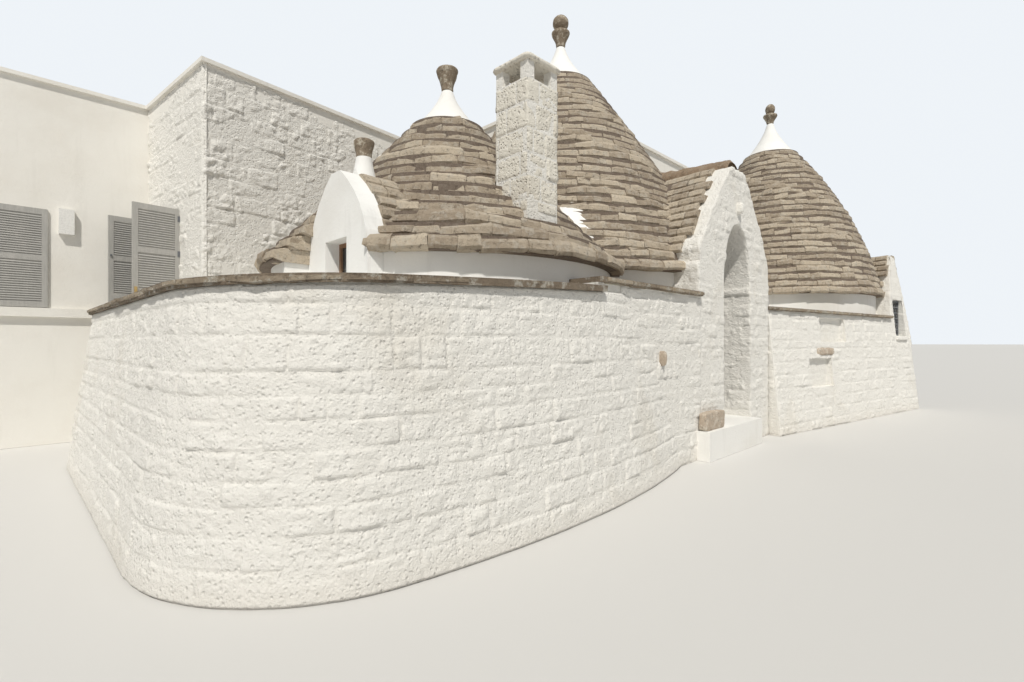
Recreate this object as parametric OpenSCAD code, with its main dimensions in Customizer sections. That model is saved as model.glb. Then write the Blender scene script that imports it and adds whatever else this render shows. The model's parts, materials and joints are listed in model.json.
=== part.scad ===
/* [Terrace wall] */
// Height of the rounded terrace wall at its left end, under the coping
terrace_h = 1960; // [1700:10:2300]
// Rise of the terrace wall's top towards the entrance, for each unit of length
terrace_rise = 0.045; // [0:0.005:0.08]
// Lean of the outer stone faces, back for each unit of height
batter = 0.13; // [0.05:0.01:0.18]
// Thickness of the stone walls at their foot
wall_t = 850; // [700:10:1100]
// Radius of the wall's long shallow front curve at the foot
front_r = 10800; // [9000:100:13000]
// Place of the front curve's centre along the front
front_x = -4720; // [-5200:10:-4400]
// Reach of the front curve past the doorway's face, at the foot
front_reach = 380; // [300:10:500]
// Radius of the two tight corners at the foot
corner_r = 1500; // [1200:10:1700]
// Place of the tight corners' centres along the front
corner_x = -6020; // [-6300:10:-5700]
// Place of the rear tight corner's centre behind the doorway's face
rear_corner_y = 5300; // [5000:10:5600]
// Thickness of the coping stones
coping_t = 60; // [40:5:120]
// Overhang of the coping stones
coping_out = 50; // [20:5:90]

/* [Entrance] */
// Clear width of the doorway
door_w = 1050; // [800:10:1200]
// Height of the doorway's sill over the ground
sill_h = 400; // [300:10:500]
// Height where the doorway's arch springs
spring_h = 2450; // [2200:10:2600]
// Height of the crown of the doorway's arch
crown_h = 3450; // [3200:10:3600]
// Width of the gable at its shoulders
gable_w = 2640; // [2400:10:3000]
// Height of the gable's shoulders
shoulder_h = 2850; // [2700:10:3000]
// Height of the gable's top
gable_h = 4270; // [4100:10:4500]
// Thickness of the gable wall
gable_t = 550; // [400:10:700]
// Height of the entrance wall under its coping
entrance_h = 2240; // [2100:10:2400]
// Left end of the entrance wall, inside the terrace wall
entrance_x = -3700; // [-4000:10:-3500]
// Height of the eaves of the roof behind the gable
saddle_eave_h = 2870; // [2700:10:3000]
// Thickness of the stone roofs
roof_t = 260; // [180:10:350]

/* [Right wall] */
// Turn of the right wall towards the yard, in degrees
turn = 10; // [4:1:14]
// Length of the right wall
right_len = 6550; // [6400:50:7000]
// Height of the right wall under its coping
right_h = 2180; // [2050:10:2300]
// Width of the window gable at its shoulders
end_gable_w = 1040; // [900:10:1200]
// Height of the window gable
end_gable_h = 3700; // [3400:10:4000]
// Clear width of the grille window
grille_w = 620; // [450:10:700]
// Clear height of the grille window
grille_h = 880; // [700:10:1000]
// Height of the grille window's sill
grille_z = 1760; // [1600:10:1900]

/* [Cones] */
// Centre of the first cone along the front
first_x = -3620; // [-3700:10:-3500]
// Centre of the first cone behind the doorway's face
first_y = 2650; // [2600:10:2750]
// Eave radius of the first cone
first_r = 2400; // [2300:10:2450]
// Centre of the middle cone along the front
middle_x = -620; // [-700:10:-500]
// Centre of the middle cone behind the doorway's face
middle_y = 3050; // [3000:10:3150]
// Eave radius of the middle cone
middle_r = 2900; // [2800:10:2950]
// Centre of the right cone before the right wall's end, along that wall
right_back = 1912; // [1820:2:2010]
// Centre of the right cone behind the right wall's face, at the foot
right_in = 2666; // [2600:2:2740]
// Eave radius of the right cone
right_r = 2420; // [2300:10:2450]
// Height of the first cone's eave
first_eave = 2500; // [2450:10:2600]
// Height of the middle cone's eave
middle_eave = 2600; // [2550:10:2700]
// Height of the right cone's eave
right_eave = 2700; // [2600:10:2800]
// Overhang of each cone's lowest course past its drum
eave_out = 130; // [60:10:180]
// Thickness of the drums and of the cones at their eaves
shell_t = 420; // [300:10:500]
// Depth of the ledge that each course leaves
course_step = 22; // [10:1:40]

/* [Chimney] */
// Width of the square chimney
chimney_w = 500; // [400:10:600]
// Centre of the chimney along the front
chimney_x = -3790; // [-3900:10:-3700]
// Centre of the chimney behind the doorway's face
chimney_y = 940; // [900:10:1000]
// Height of the chimney's cap slab over the ground
chimney_h = 4720; // [4500:10:4900]
// Height of the smoke openings under the cap
vent_h = 190; // [120:10:250]
// Width of the corner posts between the smoke openings
vent_post = 110; // [90:5:140]

/* [Flat-roofed block] */
// Height of the flat-roofed block over the ground
block_h = 5690; // [5400:10:6000]
// Thickness of the flat-roofed block's walls
block_t = 400; // [300:10:500]
// Rear face of the flat-roofed block
block_rear = 11400; // [10800:50:12000]
// Right end of the flat-roofed block
block_right = 3400; // [3200:10:3450]
// Front face of the flat-roofed block behind the middle cone
block_front = 2500; // [2450:10:2700]
// Left face of the part behind the middle cone
block_side = -1520; // [-1600:10:-1400]
// Front face of the plastered wing
wing_front = 7750; // [7600:10:7900]
// Left end of the plastered wing
wing_left = -11000; // [-12000:50:-10000]
// Thickness of the roof slab
slab_t = 250; // [180:10:300]
// Height of the upper floor's top
floor_h = 1970; // [1950:5:1985]
// Height of the foot of the tall window that opens on the terrace
door_z = 1990; // [1985:5:2100]
// Height of the sills of the upper windows
window_z = 2160; // [2155:5:2300]
// Height of the upper windows
window_h = 1540; // [1200:10:1560]
// Width of the upper windows
window_w = 1240; // [1100:10:1250]

/* [Hidden] */
$fn = 400;

// Colours as the materials show them
lime = "ivory";
stone = "tan";
plaster = "linen";
paint = "gray";
wood = "sienna";
white = "white";

// Small clearance where two pieces sit side by side
seat = 0.5;
// Length that makes a cut run out past the faces that it opens
over = 20;
// Size of the blocks that only trim others
far = 30000;
// Sides of a full turn on the long front curve
arc_n = 1600;

// Terrace wall: centres of its curves, and the angle where the front curve meets the corner
front_c = [front_x, front_r - front_reach];
meet_a = asin((front_x - corner_x) / (front_r - corner_r));
corner_c = [corner_x, front_c[1] - (front_r - corner_r) * cos(meet_a)];
rear_c = [corner_x, rear_corner_y];
front_end_a = 16;
terrace_left = corner_x - corner_r;
wall_spare = 400;
wall_raw_h = terrace_h + terrace_rise * (entrance_x - terrace_left) + wall_spare;
top_lean = batter * terrace_h;
ledge_t = 160;
deck_t = 200;
deck_drop = 20;
deck_top = terrace_h - deck_drop;
deck_gap = 1;
coping_in = 40;

// Dry-stone batter of the right wall, and its niches: centre along it, foot, width and height
right_lean = 0.10;
niches = [[2400, 1620, 1100, 480], [1750, 760, 900, 540]];
niche_deep = 130;
niche_stone_d = 1980;
niche_stone_z = 1360;
niche_stone_w = 800;
niche_stone_h = 160;
niche_stone_out = 40;

// Right wall: its start, its direction and its end
right_start = [gable_w / 2, -200];
along = [cos(turn), -sin(turn)];
inward = [sin(turn), cos(turn)];
right_x = (right_start + (right_len - right_back) * along + right_in * inward)[0];
right_y = (right_start + (right_len - right_back) * along + right_in * inward)[1];
end_gable_side = 80;
end_gable_d = right_len - end_gable_w / 2 - end_gable_side;
gable_left_d = end_gable_d - end_gable_w / 2;
end_wall_t = 600;
// Outer corners of the walls round the right cone's rear
end_room = 250;
end_bend = [450, 500];
yard_room = 180;
end_out = [right_start + right_len * along + (gable_t + seat) * inward,
    [right_x + right_r + end_room, right_y + end_bend[1]],
    [right_x + right_r - end_bend[0], right_y + right_r + yard_room],
    [block_right, right_y + right_r + yard_room]];
end_in = [for (i = [0 : 3]) end_out[i] + corner_shift(end_out, i, end_wall_t)];

// Right end of the tall block's front face
tall_end_y = 5900;

// Deck and what stands on it
side_t = 260;
deck_r = corner_r - wall_t + ledge_t - deck_gap;
deck_y = wall_t - ledge_t + deck_gap;
deck_left = [corner_c, corner_c - 3 * corner_r * [sin(meet_a), cos(meet_a)], [entrance_x, -3 * corner_r],
    [entrance_x, (tall_y(entrance_x))], rear_c];
deck_right = [[entrance_x, deck_y], [right_start[0], deck_y], right_start + deck_y * inward,
    right_start + (right_len - end_wall_t) * along + deck_y * inward, end_in[1], end_in[2], end_in[3],
    [block_right, block_front], [block_side, block_front], [block_side, tall_end_y],
    [entrance_x, tall_y(entrance_x)]];

// Gables and arch: bend of the flanks, width kept at the top, and sides along each curve
gable_curve = 1.25;
gable_tip = 0.2;
gable_n = 8;
arch_n = 12;

// Roof trim
end_roof_t = 160;
dormer_roof_t = 150;
eave_side_out = 60;
roof_rise = 30;
ridge_r = 110;
ridge_over = 60;
end_eave_h = 2560;

// Doorway trim
sill_out = 180;
step_x = -1410;
step_h = 290;
step_out = 140;
peg_w = 130;
peg_h = 200;
peg_out = 120;
peg_z = 3590;
side_peg = [-2430, 1310];

// Grille
grille_in = 330;
grille_t = 30;
grille_edge = 50;
grille_rows = 6;
grille_bar = 30;
grille_pitch = (grille_h - 2 * grille_edge + grille_bar) / grille_rows;
sill_stone_h = 90;
sill_stone_out = 60;

// Cones: courses, flank and cap of each
first_n = 14;
middle_n = 27;
right_n = 25;
first_top = 4600;
middle_top = 6440;
right_top = 6510;
first_top_r = 420;
middle_top_r = 500;
right_top_r = 560;
first_belly = -60;
middle_belly = 105;
right_belly = 280;
vault_top = 260;
vault_r = 120;
cap_n = 10;
cap_curve = 1.3;
cap_out = 40;
neck_r = 85;
first_neck = 5170;
middle_neck = 7180;
right_neck = 7410;

// Finials
first_cup_r = 156;
first_cup_h = 330;
tall_cup_r = 175;
tall_cup_h = 310;
right_cup_h = 250;
middle_ball_r = 150;
middle_ball_h = 300;
right_ball_r = 120;
right_ball_h = 280;
small_cup_r = 110;
small_cup_h = 200;

// Dormer on the first cone's left flank
dormer_x = -5620;
dormer_y = 1980;
dormer_w = 1340;
dormer_top = 3400;
dormer_t = 220;
dormer_eave_h = 2300;
dormer_curve = 2.6;
dormer_tip = 0.15;
dormer_reveal = 90;
dormer_window_w = 480;
dormer_window_h = 490;
dormer_window_z = 2200;
pinnacle_in = 330;
pinnacle_r = 230;
pinnacle_h = 320;

// Chimney
cap_slab_out = 40;
cap_slab_t = 60;
flue_depth = 900;

// Flat-roofed block: outer corners, seen from above, and its inner corners
tall_back_x = -6270;
block_out = [[wing_left, wing_front], [tall_back_x, wing_front], rear_c, [block_side, tall_end_y],
    [block_side, block_front], [block_right, block_front], [block_right, block_rear],
    [wing_left, block_rear]];
block_in = inset(block_out, block_t);
coping_w = 350;
string_out = 70;
string_h = 140;
string_top = 2150;
window_far = 235;
wing_window_x = -9450;
frame_in = 150;
frame_t = 60;
frame_bar = 45;
leaf_t = 40;
leaf_w = window_w / 2;
leaf_rail = 90;
leaf_stile = 70;
leaf_sink = 14;
leaf_gap = 0.3;
door_h = window_z + window_h - door_z;
window_panels = (window_h - 3 * leaf_rail) * [0.5, 0.5];
door_panels = (door_h - 4 * leaf_rail) * [0.19, 0.395, 0.415];
lamp_x = -7460;
lamp_z = 3340;
lamp_w = 190;
lamp_h = 400;
lamp_out = 90;

// Front face of the tall block at a place along the front
function tall_y(x) = mix(rear_c[1], tall_end_y, (x - rear_c[0]) / (block_side - rear_c[0]));
function unit(v) = v / norm(v);
function left_of(v) = [-v[1], v[0]];
// Shift of corner i that moves both of its sides inwards by t, for corners listed anticlockwise
function corner_shift(p, i, t) =
    let(n = len(p), last = n - 1,
        u = unit(i == 0 ? p[1] - p[0] : p[i] - p[i - 1]),
        v = unit(i == last ? p[last] - p[last - 1] : p[i + 1] - p[i]))
    t * (left_of(u) + left_of(v)) / (1 + left_of(u) * left_of(v));
// Closed outline whose sides all lie t further in
function inset(p, t) = let(n = len(p)) [for (i = [0 : n - 1])
    let(u = left_of(unit(p[i] - p[(i + n - 1) % n])), v = left_of(unit(p[(i + 1) % n] - p[i])))
    p[i] + t * (u + v) / (1 + u * v)];

function mix(a, b, t) = a + (b - a) * t;
// Radius of a cone at share t of its height: a line with a slight belly
function flank(r, r_top, t, belly) = mix(r, r_top, t) + belly * 4 * t * (1 - t);
// Stepped outer profile of a corbelled cone, from the eave up
function courses(r, r_top, z, z_top, n, belly) = [for (i = [0 : n - 1], k = [0, 1])
    [flank(r, r_top, i / n, belly) - (k == 1 ? course_step : 0), mix(z, z_top, (i + k) / n)]];
// Half outline of a gable from shoulder to top: its flank bends in by a power, to a share of its width
function gable_side(w, z, z_top, curve = gable_curve, tip = gable_tip) = [for (i = [0 : gable_n])
    let(t = i / gable_n) [w / 2 * (1 - (1 - tip) * pow(t, curve)), mix(z, z_top, t)]];
// Half outline of the doorway's tall arch
function arch_side(w) = [for (i = [0 : arch_n]) let(a = 90 * i / arch_n)
    [w / 2 * cos(a), spring_h + (crown_h - spring_h) * sin(a)]];
// Outline that repeats a half outline on the other side
function both_sides(p) = concat(p, mirrored([for (q = p) if (q[0] > 0) q]));
function mirrored(p) = [for (i = [len(p) - 1 : -1 : 0]) [-p[i][0], p[i][1]]];

// Everything under the terrace wall's sloping top, raised by dz
module under_slope(dz) {
    translate([terrace_left, 0, terrace_h + dz]) rotate([0, -atan(terrace_rise), 0])
        translate([-far / 2, -far / 2, -far]) cube([far, far, far]);
}

// Section of a battered wall that turns round a centre, with the deck's ledge inside
module turned_section(r) {
    polygon([[r, 0], [r - batter * wall_raw_h, wall_raw_h], [r - wall_t + ledge_t, wall_raw_h],
        [r - wall_t + ledge_t, deck_top - deck_t], [r - wall_t, deck_top - deck_t], [r - wall_t, 0]]);
}

// Section of the coping over the same wall
module coping_section(r) {
    translate([r - wall_t + ledge_t + coping_in, terrace_h - wall_spare])
        square([wall_t - ledge_t - coping_in - top_lean + coping_out, 3 * wall_spare]);
}

module turned(c, from, to, n = $fn) {
    translate([c[0], c[1], 0]) rotate([0, 0, from]) rotate_extrude(angle = to - from, $fn = n) children();
}

// Straight piece of the same section, from the rear corner's centre to the front corner's
module straight_left() {
    translate([corner_x, corner_c[1], 0]) rotate([90, 0, 180])
        linear_extrude(rear_c[1] - corner_c[1]) children();
}

module terrace_left_wall() {
    color(lime) intersection() {
        straight_left() turned_section(corner_r);
        under_slope(0);
    }
}

module terrace_corner_wall() {
    color(lime) intersection() {
        turned(corner_c, 180, 270 - meet_a) turned_section(corner_r);
        under_slope(0);
    }
}

module terrace_front_wall() {
    color(lime) difference() {
        intersection() {
            turned(front_c, 270 - meet_a, 270 + front_end_a, arc_n) turned_section(front_r);
            under_slope(0);
        }
        translate([entrance_x, 0, -over]) cube(far);
        translate([-gable_w / 2, -far / 2, -over]) cube(far);
        drum_space(first_x, first_y, first_r);
    }
}

module terrace_rear_wall() {
    color(lime) difference() {
        intersection() {
            turned(rear_c, 90, 180) turned_section(corner_r);
            under_slope(0);
        }
        block_footprint();
    }
}

module terrace_coping() {
    color(stone) difference() {
        intersection() {
            union() {
                straight_left() coping_section(corner_r);
                turned(corner_c, 180, 270 - meet_a) coping_section(corner_r);
                turned(front_c, 270 - meet_a, 270 + front_end_a, arc_n) coping_section(front_r);
                turned(rear_c, 90, 180) coping_section(corner_r);
            }
            under_slope(coping_t);
        }
        under_slope(0);
        translate([entrance_x, -far / 2, 0]) cube(far);
        block_footprint();
        drum_space(first_x, first_y, first_r);
    }
}

module entrance_wall() {
    color(lime) difference() {
        translate([entrance_x, 0, 0]) rotate([90, 0, 90])
            linear_extrude(-gable_w / 2 - entrance_x) ledged_section(0, entrance_h);
        drum_space(first_x, first_y, first_r);
        drum_space(middle_x, middle_y, middle_r);
    }
}

// Upright or leaning wall section, front at 0, with the deck's ledge behind
module ledged_section(lean, h) {
    polygon([[0, 0], [lean * h, h], [wall_t - ledge_t, h], [wall_t - ledge_t, deck_top - deck_t],
        [wall_t, deck_top - deck_t], [wall_t, 0]]);
}

module entrance_coping() {
    color(stone) difference() {
        translate([entrance_x, -coping_out, entrance_h])
            cube([-gable_w / 2 - entrance_x, wall_t - ledge_t + coping_out - coping_in, coping_t]);
        drum_space(first_x, first_y, first_r);
        drum_space(middle_x, middle_y, middle_r);
    }
}

// Outline of the entrance gable from the ground to its top, larger by grow
module gable_outline(grow = 0) {
    w = gable_w + 2 * grow;
    polygon(both_sides(concat([[w / 2, -over]], gable_side(w, shoulder_h + grow, gable_h + grow))));
}

// Space that the entrance gable and its passage take out of the middle cone and its drum
module gable_space() {
    translate([0, gable_t + seat, 0]) rotate([90, 0, 0]) linear_extrude(middle_y) gable_outline(seat);
    translate([0, middle_y, 0]) rotate([90, 0, 0]) linear_extrude(middle_y) door_outline();
}

// Outline of the doorway with its tall round-topped arch
module door_outline() {
    polygon(both_sides(concat([[door_w / 2, -over]], arch_side(door_w))));
}

// The gable wall between two heights, with the doorway cut through
module gable_part(x0, x1, z0, z1) {
    difference() {
        intersection() {
            translate([0, gable_t, 0]) rotate([90, 0, 0]) linear_extrude(gable_t) gable_outline();
            translate([x0, -over, z0]) cube([x1 - x0, gable_t + 2 * over, z1 - z0]);
        }
        translate([0, gable_t + over, 0]) rotate([90, 0, 0])
            linear_extrude(gable_t + 2 * over) door_outline();
    }
}

module gable_left_pier() {
    color(lime) gable_part(-gable_w / 2, 0, 0, shoulder_h);
}

module gable_right_pier() {
    color(lime) gable_part(0, gable_w / 2, 0, shoulder_h);
}

module gable_head() {
    color(lime) gable_part(-gable_w / 2, gable_w / 2, shoulder_h, gable_h);
}

module door_sill() {
    color(plaster) {
        translate([-door_w / 2 + seat, -sill_out, 0]) cube([door_w - 2 * seat, gable_t + sill_out, sill_h]);
        translate([step_x, -sill_out, 0]) cube([-door_w / 2 - step_x, sill_out - seat, sill_h]);
    }
}

module step_block() {
    color(stone) translate([step_x, -step_out, sill_h])
        cube([-door_w / 2 - step_x, step_out - seat, step_h]);
}

// Brown stones that stand out of the lime-washed faces
module face_stones() {
    color(stone) {
        translate([-peg_w / 2, -peg_out, peg_z]) cube([peg_w, peg_out, peg_h]);
        translate([side_peg[0], -peg_out, side_peg[1]]) cube([peg_w / 2, peg_out, peg_h]);
        right_frame() translate([niche_stone_d - niche_stone_w / 2,
            right_lean * niche_stone_z - niche_stone_out, niche_stone_z])
            cube([niche_stone_w, niche_stone_out, niche_stone_h]);
    }
}

// Frame of the right wall: X along it, Y into the building
module right_frame() {
    translate([right_start[0], right_start[1], 0]) rotate([0, 0, -turn]) children();
}

module right_wall() {
    color(lime) right_frame() difference() {
        rotate([90, 0, 90]) linear_extrude(gable_left_d) ledged_section(right_lean, right_h);
        gable_block();
        right_drum_space();
        for (n = niches)
            translate([n[0] - n[2] / 2, -over, n[1]])
                cube([n[2], niche_deep + over + right_lean * n[1], n[3]]);
    }
}

// Room that the entrance gable takes up beside the right wall's first stones, in the wall's frame
module gable_block() {
    rotate([0, 0, turn]) translate(-[right_start[0], right_start[1], 0])
        translate([-far, -seat, -over]) cube([far + gable_w / 2 + seat, far, far]);
}

// The right cone's drum as the right wall's frame sees it
module right_drum_space() {
    rotate([0, 0, turn]) translate(-[right_start[0], right_start[1], 0])
        drum_space(right_x, right_y, right_r);
}

// Plan of one straight wall round the right cone's rear
module end_outline(i) {
    polygon([end_out[i], end_out[i + 1], end_in[i + 1], end_in[i]]);
}

module right_coping() {
    color(stone) {
        right_frame() difference() {
            translate([0, right_lean * right_h - coping_out, right_h])
                cube([gable_left_d, wall_t - ledge_t - right_lean * right_h + coping_out - coping_in,
                    coping_t]);
            gable_block();
            right_drum_space();
        }
        difference() {
            for (i = [0 : 2])
                translate([0, 0, right_h]) linear_extrude(coping_t) end_outline(i);
            drum_space(right_x, right_y, right_r);
            window_passage();
        }
    }
}

// Outline of the window gable, larger by grow: the wall's leaning end on the right, a pointed top
module window_gable_outline(grow = 0) {
    top = both_sides(gable_side(end_gable_w + 2 * grow, right_h + grow, end_gable_h + grow));
    polygon(concat([[right_len + grow, 0]], [for (p = top) [end_gable_d + p[0], p[1]]],
        [[gable_left_d - grow, 0]]));
}

// Space that the window gable and its passage inwards take out of the right cone and its drum
module window_gable_space() {
    right_frame() translate([0, gable_t + seat, 0]) rotate([90, 0, 0])
        linear_extrude(2 * gable_t) window_gable_outline(seat);
    window_passage();
}

// Way of the light from the grille into the room under the right cone
module window_passage() {
    right_frame() grille_space(right_r);
}

module window_gable() {
    color(lime) right_frame() difference() {
        intersection() {
            translate([0, gable_t, 0]) rotate([90, 0, 0]) linear_extrude(gable_t) window_gable_outline();
            rotate([90, 0, 90]) linear_extrude(right_len + over)
                polygon([[0, 0], [right_lean * end_gable_h, end_gable_h], [gable_t, end_gable_h],
                    [gable_t, 0]]);
        }
        grille_space(gable_t + over);
    }
}

module grille_space(deep) {
    translate([end_gable_d - grille_w / 2, -over, grille_z]) cube([grille_w, deep + over, grille_h]);
}

module window_grille() {
    color(paint) right_frame() translate([end_gable_d - grille_w / 2, grille_in, grille_z]) difference() {
        cube([grille_w, grille_t, grille_h]);
        for (i = [0 : grille_rows - 1])
            translate([grille_edge, -over, grille_edge + i * grille_pitch])
                cube([grille_w - 2 * grille_edge, grille_t + 2 * over, grille_pitch - grille_bar]);
    }
}

module window_sill() {
    color(stone) right_frame() translate([end_gable_d - grille_w / 2, right_lean * (grille_z - sill_stone_h)
        - sill_stone_out, grille_z - sill_stone_h - 1]) cube([grille_w, sill_stone_out, sill_stone_h]);
}

// Stone roof with bulging flanks that runs back from a gable: outer half width, eave and ridge
module saddle(w, z0, z1, length, t = roof_t, curve = gable_curve, tip = gable_tip) {
    rotate([90, 0, 0]) mirror([0, 0, 1]) linear_extrude(length) difference() {
        polygon(both_sides(gable_side(w, z0, z1, curve, tip)));
        polygon(both_sides(concat([[w / 2 - t, z0 - over]],
            gable_side(w - 2 * t, z0, z1 - t, curve, tip))));
    }
}

module entrance_roof() {
    color(stone) difference() {
        translate([0, gable_t, 0]) saddle(gable_w + 2 * eave_side_out, saddle_eave_h,
            gable_h + roof_rise, middle_y - gable_t);
        middle_mass();
    }
}

// Low plastered walls that carry the roof behind the gable
module entrance_roof_sides() {
    color(plaster) difference() {
        for (s = [-1, 1])
            translate([s > 0 ? gable_w / 2 - side_t : -gable_w / 2, gable_t, deck_top])
                cube([side_t, middle_y - gable_t, saddle_eave_h - deck_top]);
        middle_mass();
        translate([middle_x, middle_y, 0]) cylinder(h = far, r = middle_r - eave_out + seat);
    }
}

module entrance_ridge() {
    color(stone) difference() {
        translate([0, gable_t - ridge_over, gable_h + roof_rise + seat]) rotate([-90, 0, 0])
            intersection() {
                cylinder(h = middle_y - gable_t, r = ridge_r);
                translate([-ridge_r, -ridge_r, 0]) cube([2 * ridge_r, ridge_r, middle_y]);
            }
        middle_mass();
    }
}

module end_roof() {
    color(stone) difference() {
        right_frame() translate([end_gable_d, gable_t, 0])
            saddle(end_gable_w + 2 * eave_side_out, end_eave_h, end_gable_h + roof_rise, right_r, end_roof_t);
        right_mass();
        translate([right_x, right_y, 0]) cylinder(h = right_eave, r = right_r);
    }
}

module end_wall() {
    color(lime) difference() {
        linear_extrude(right_h) end_outline(0);
        drum_space(right_x, right_y, right_r);
        window_passage();
    }
}

module yard_wall() {
    color(lime) difference() {
        for (i = [1, 2]) linear_extrude(right_h) end_outline(i);
        drum_space(right_x, right_y, right_r);
    }
}

// Flat deck between the terrace wall and the drums, open under each cone and each gable roof
module terrace_deck() {
    color(plaster) translate([0, 0, deck_top - deck_t]) difference() {
        union() {
            translate([corner_x - deck_r, corner_c[1], 0])
                cube([deck_r, rear_c[1] - corner_c[1], deck_t]);
            turned(corner_c, 180, 270 - meet_a) square([deck_r, deck_t]);
            turned(rear_c, 90, 180) square([deck_r, deck_t]);
            intersection() {
                linear_extrude(deck_t) polygon(deck_left);
                translate([front_c[0], front_c[1], -over])
                    cylinder(h = deck_t + 2 * over, r = front_r - wall_t + ledge_t - deck_gap, $fn = arc_n);
            }
            linear_extrude(deck_t) polygon(deck_right);
        }
        for (c = [[first_x, first_y, first_r], [middle_x, middle_y, middle_r], [right_x, right_y, right_r]])
            translate([c[0], c[1], -over])
                cylinder(h = deck_t + 2 * over, r = c[2] - eave_out - shell_t);
        translate([-gable_w / 2 + side_t, -over, -over])
            cube([gable_w - 2 * side_t, middle_y, deck_t + 2 * over]);
        right_frame() translate([gable_left_d + side_t, -over, -over])
            cube([end_gable_w - 2 * side_t, right_r, deck_t + 2 * over]);
        translate([0, 0, deck_t - deck_top]) window_passage();
        block_footprint();
    }
}

// Round space of a cone's drum over the deck, left free by the walls round it
module drum_space(x, y, r) {
    translate([x, y, deck_top]) cylinder(h = far, r = r - eave_out + seat);
}

module drum(x, y, r, h) {
    translate([x, y, deck_top]) difference() {
        cylinder(h = h - deck_top, r = r - eave_out);
        translate([0, 0, -over]) cylinder(h = h - deck_top + 2 * over, r = r - eave_out - shell_t);
    }
}

module first_drum() {
    color(plaster) difference() {
        drum(first_x, first_y, first_r, first_eave);
        translate([middle_x, middle_y, 0]) cylinder(h = far, r = middle_r - eave_out + seat);
        dormer_space();
    }
}

module middle_drum() {
    color(plaster) difference() {
        drum(middle_x, middle_y, middle_r, middle_eave);
        block_space();
        gable_space();
        translate([-gable_w / 2 + side_t, -over, 0]) cube([gable_w - 2 * side_t, middle_y, far]);
        translate([first_x, first_y, 0]) cylinder(h = far, r = first_r - eave_out - shell_t);
    }
}

module right_drum() {
    color(plaster) difference() {
        drum(right_x, right_y, right_r, right_eave);
        window_gable_space();
        right_frame() translate([gable_left_d + side_t, 0, 0])
            cube([end_gable_w - 2 * side_t, right_r, far]);
    }
}

// Corbelled cone: stepped courses outside, a smooth vault inside
module cone(x, y, r, r_top, z, z_top, n, belly) {
    translate([x, y, 0]) rotate_extrude() polygon(concat(courses(r, r_top, z, z_top, n, belly),
        [[0, z_top], [0, z_top - vault_top], [vault_r, z_top - vault_top],
        [r - eave_out - shell_t, z]]));
}

// Space that a cone takes up course by course, used to trim what meets it
module cone_mass(x, y, r, r_top, z, z_top, n, belly) {
    translate([x, y, 0]) rotate_extrude() polygon(concat([[0, z - over], [r + seat, z - over]],
        [for (p = courses(r, r_top, z, z_top, n, belly)) p + [seat, 0]], [[0, z_top]]));
}

module first_mass() {
    cone_mass(first_x, first_y, first_r, first_top_r, first_eave, first_top, first_n, first_belly);
}

module middle_mass() {
    cone_mass(middle_x, middle_y, middle_r, middle_top_r, middle_eave, middle_top, middle_n, middle_belly);
}

module right_mass() {
    cone_mass(right_x, right_y, right_r, right_top_r, right_eave, right_top, right_n, right_belly);
}

// The flat-roofed block's corner that stands in the middle cone
module block_space() {
    translate([block_side - seat, block_front - seat, -over])
        cube([far, far, block_h + coping_t + over + seat]);
}

module first_cone() {
    color(stone) difference() {
        cone(first_x, first_y, first_r, first_top_r, first_eave, first_top, first_n, first_belly);
        middle_mass();
        drum_space(middle_x, middle_y, middle_r);
        dormer_space();
    }
}

module middle_cone() {
    color(stone) difference() {
        cone(middle_x, middle_y, middle_r, middle_top_r, middle_eave, middle_top, middle_n, middle_belly);
        block_space();
        gable_space();
    }
}

module right_cone() {
    color(stone) difference() {
        cone(right_x, right_y, right_r, right_top_r, right_eave, right_top, right_n, right_belly);
        window_gable_space();
    }
}

// White concave cap, from the top course to the neck
module cap(x, y, r, r_neck, z, z_neck) {
    translate([x, y, 0]) rotate_extrude() polygon(concat([[0, z]],
        [for (i = [0 : cap_n]) let(t = i / cap_n)
            [r_neck + (r - r_neck) * pow(1 - t, cap_curve), mix(z, z_neck, t)]], [[0, z_neck]]));
}

module first_cap() {
    color(plaster) cap(first_x, first_y, first_top_r + cap_out, neck_r, first_top, first_neck);
}

module middle_cap() {
    color(plaster) cap(middle_x, middle_y, middle_top_r + cap_out, neck_r, middle_top, middle_neck);
}

module right_cap() {
    color(plaster) cap(right_x, right_y, right_top_r + cap_out, neck_r, right_top, right_neck);
}

// Cup-shaped stone that flares upwards, with a rounded top
module cup(r, h) {
    rotate_extrude() polygon([[0, 0], [neck_r, 0], [neck_r + (r - neck_r) * 0.35, h * 0.4],
        [r, h * 0.85], [r * 0.9, h * 0.97], [r * 0.5, h], [0, h]]);
}

// Ball that stands on the cup, a little taller than wide
module finial_ball(r, h) {
    rotate_extrude() polygon(concat([[0, 0], [r * 0.45, 0]], [for (a = [-50 : 20 : 70])
        [r * cos(a), h * 0.5 + h * 0.5 * sin(a)]], [[0, h]]));
}

module first_finial() {
    color(stone) translate([first_x, first_y, first_neck]) cup(first_cup_r, first_cup_h);
}

module middle_finial() {
    color(stone) translate([middle_x, middle_y, middle_neck]) {
        cup(tall_cup_r, tall_cup_h);
        translate([0, 0, tall_cup_h]) finial_ball(middle_ball_r, middle_ball_h);
    }
}

module right_finial() {
    color(stone) translate([right_x, right_y, right_neck]) {
        cup(tall_cup_r, right_cup_h);
        translate([0, 0, right_cup_h]) finial_ball(right_ball_r, right_ball_h);
    }
}

// Frame of the dormer: X across it, Y into the first cone
module dormer_frame() {
    translate([dormer_x, dormer_y, 0]) rotate([0, 0, -90]) children();
}

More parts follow.
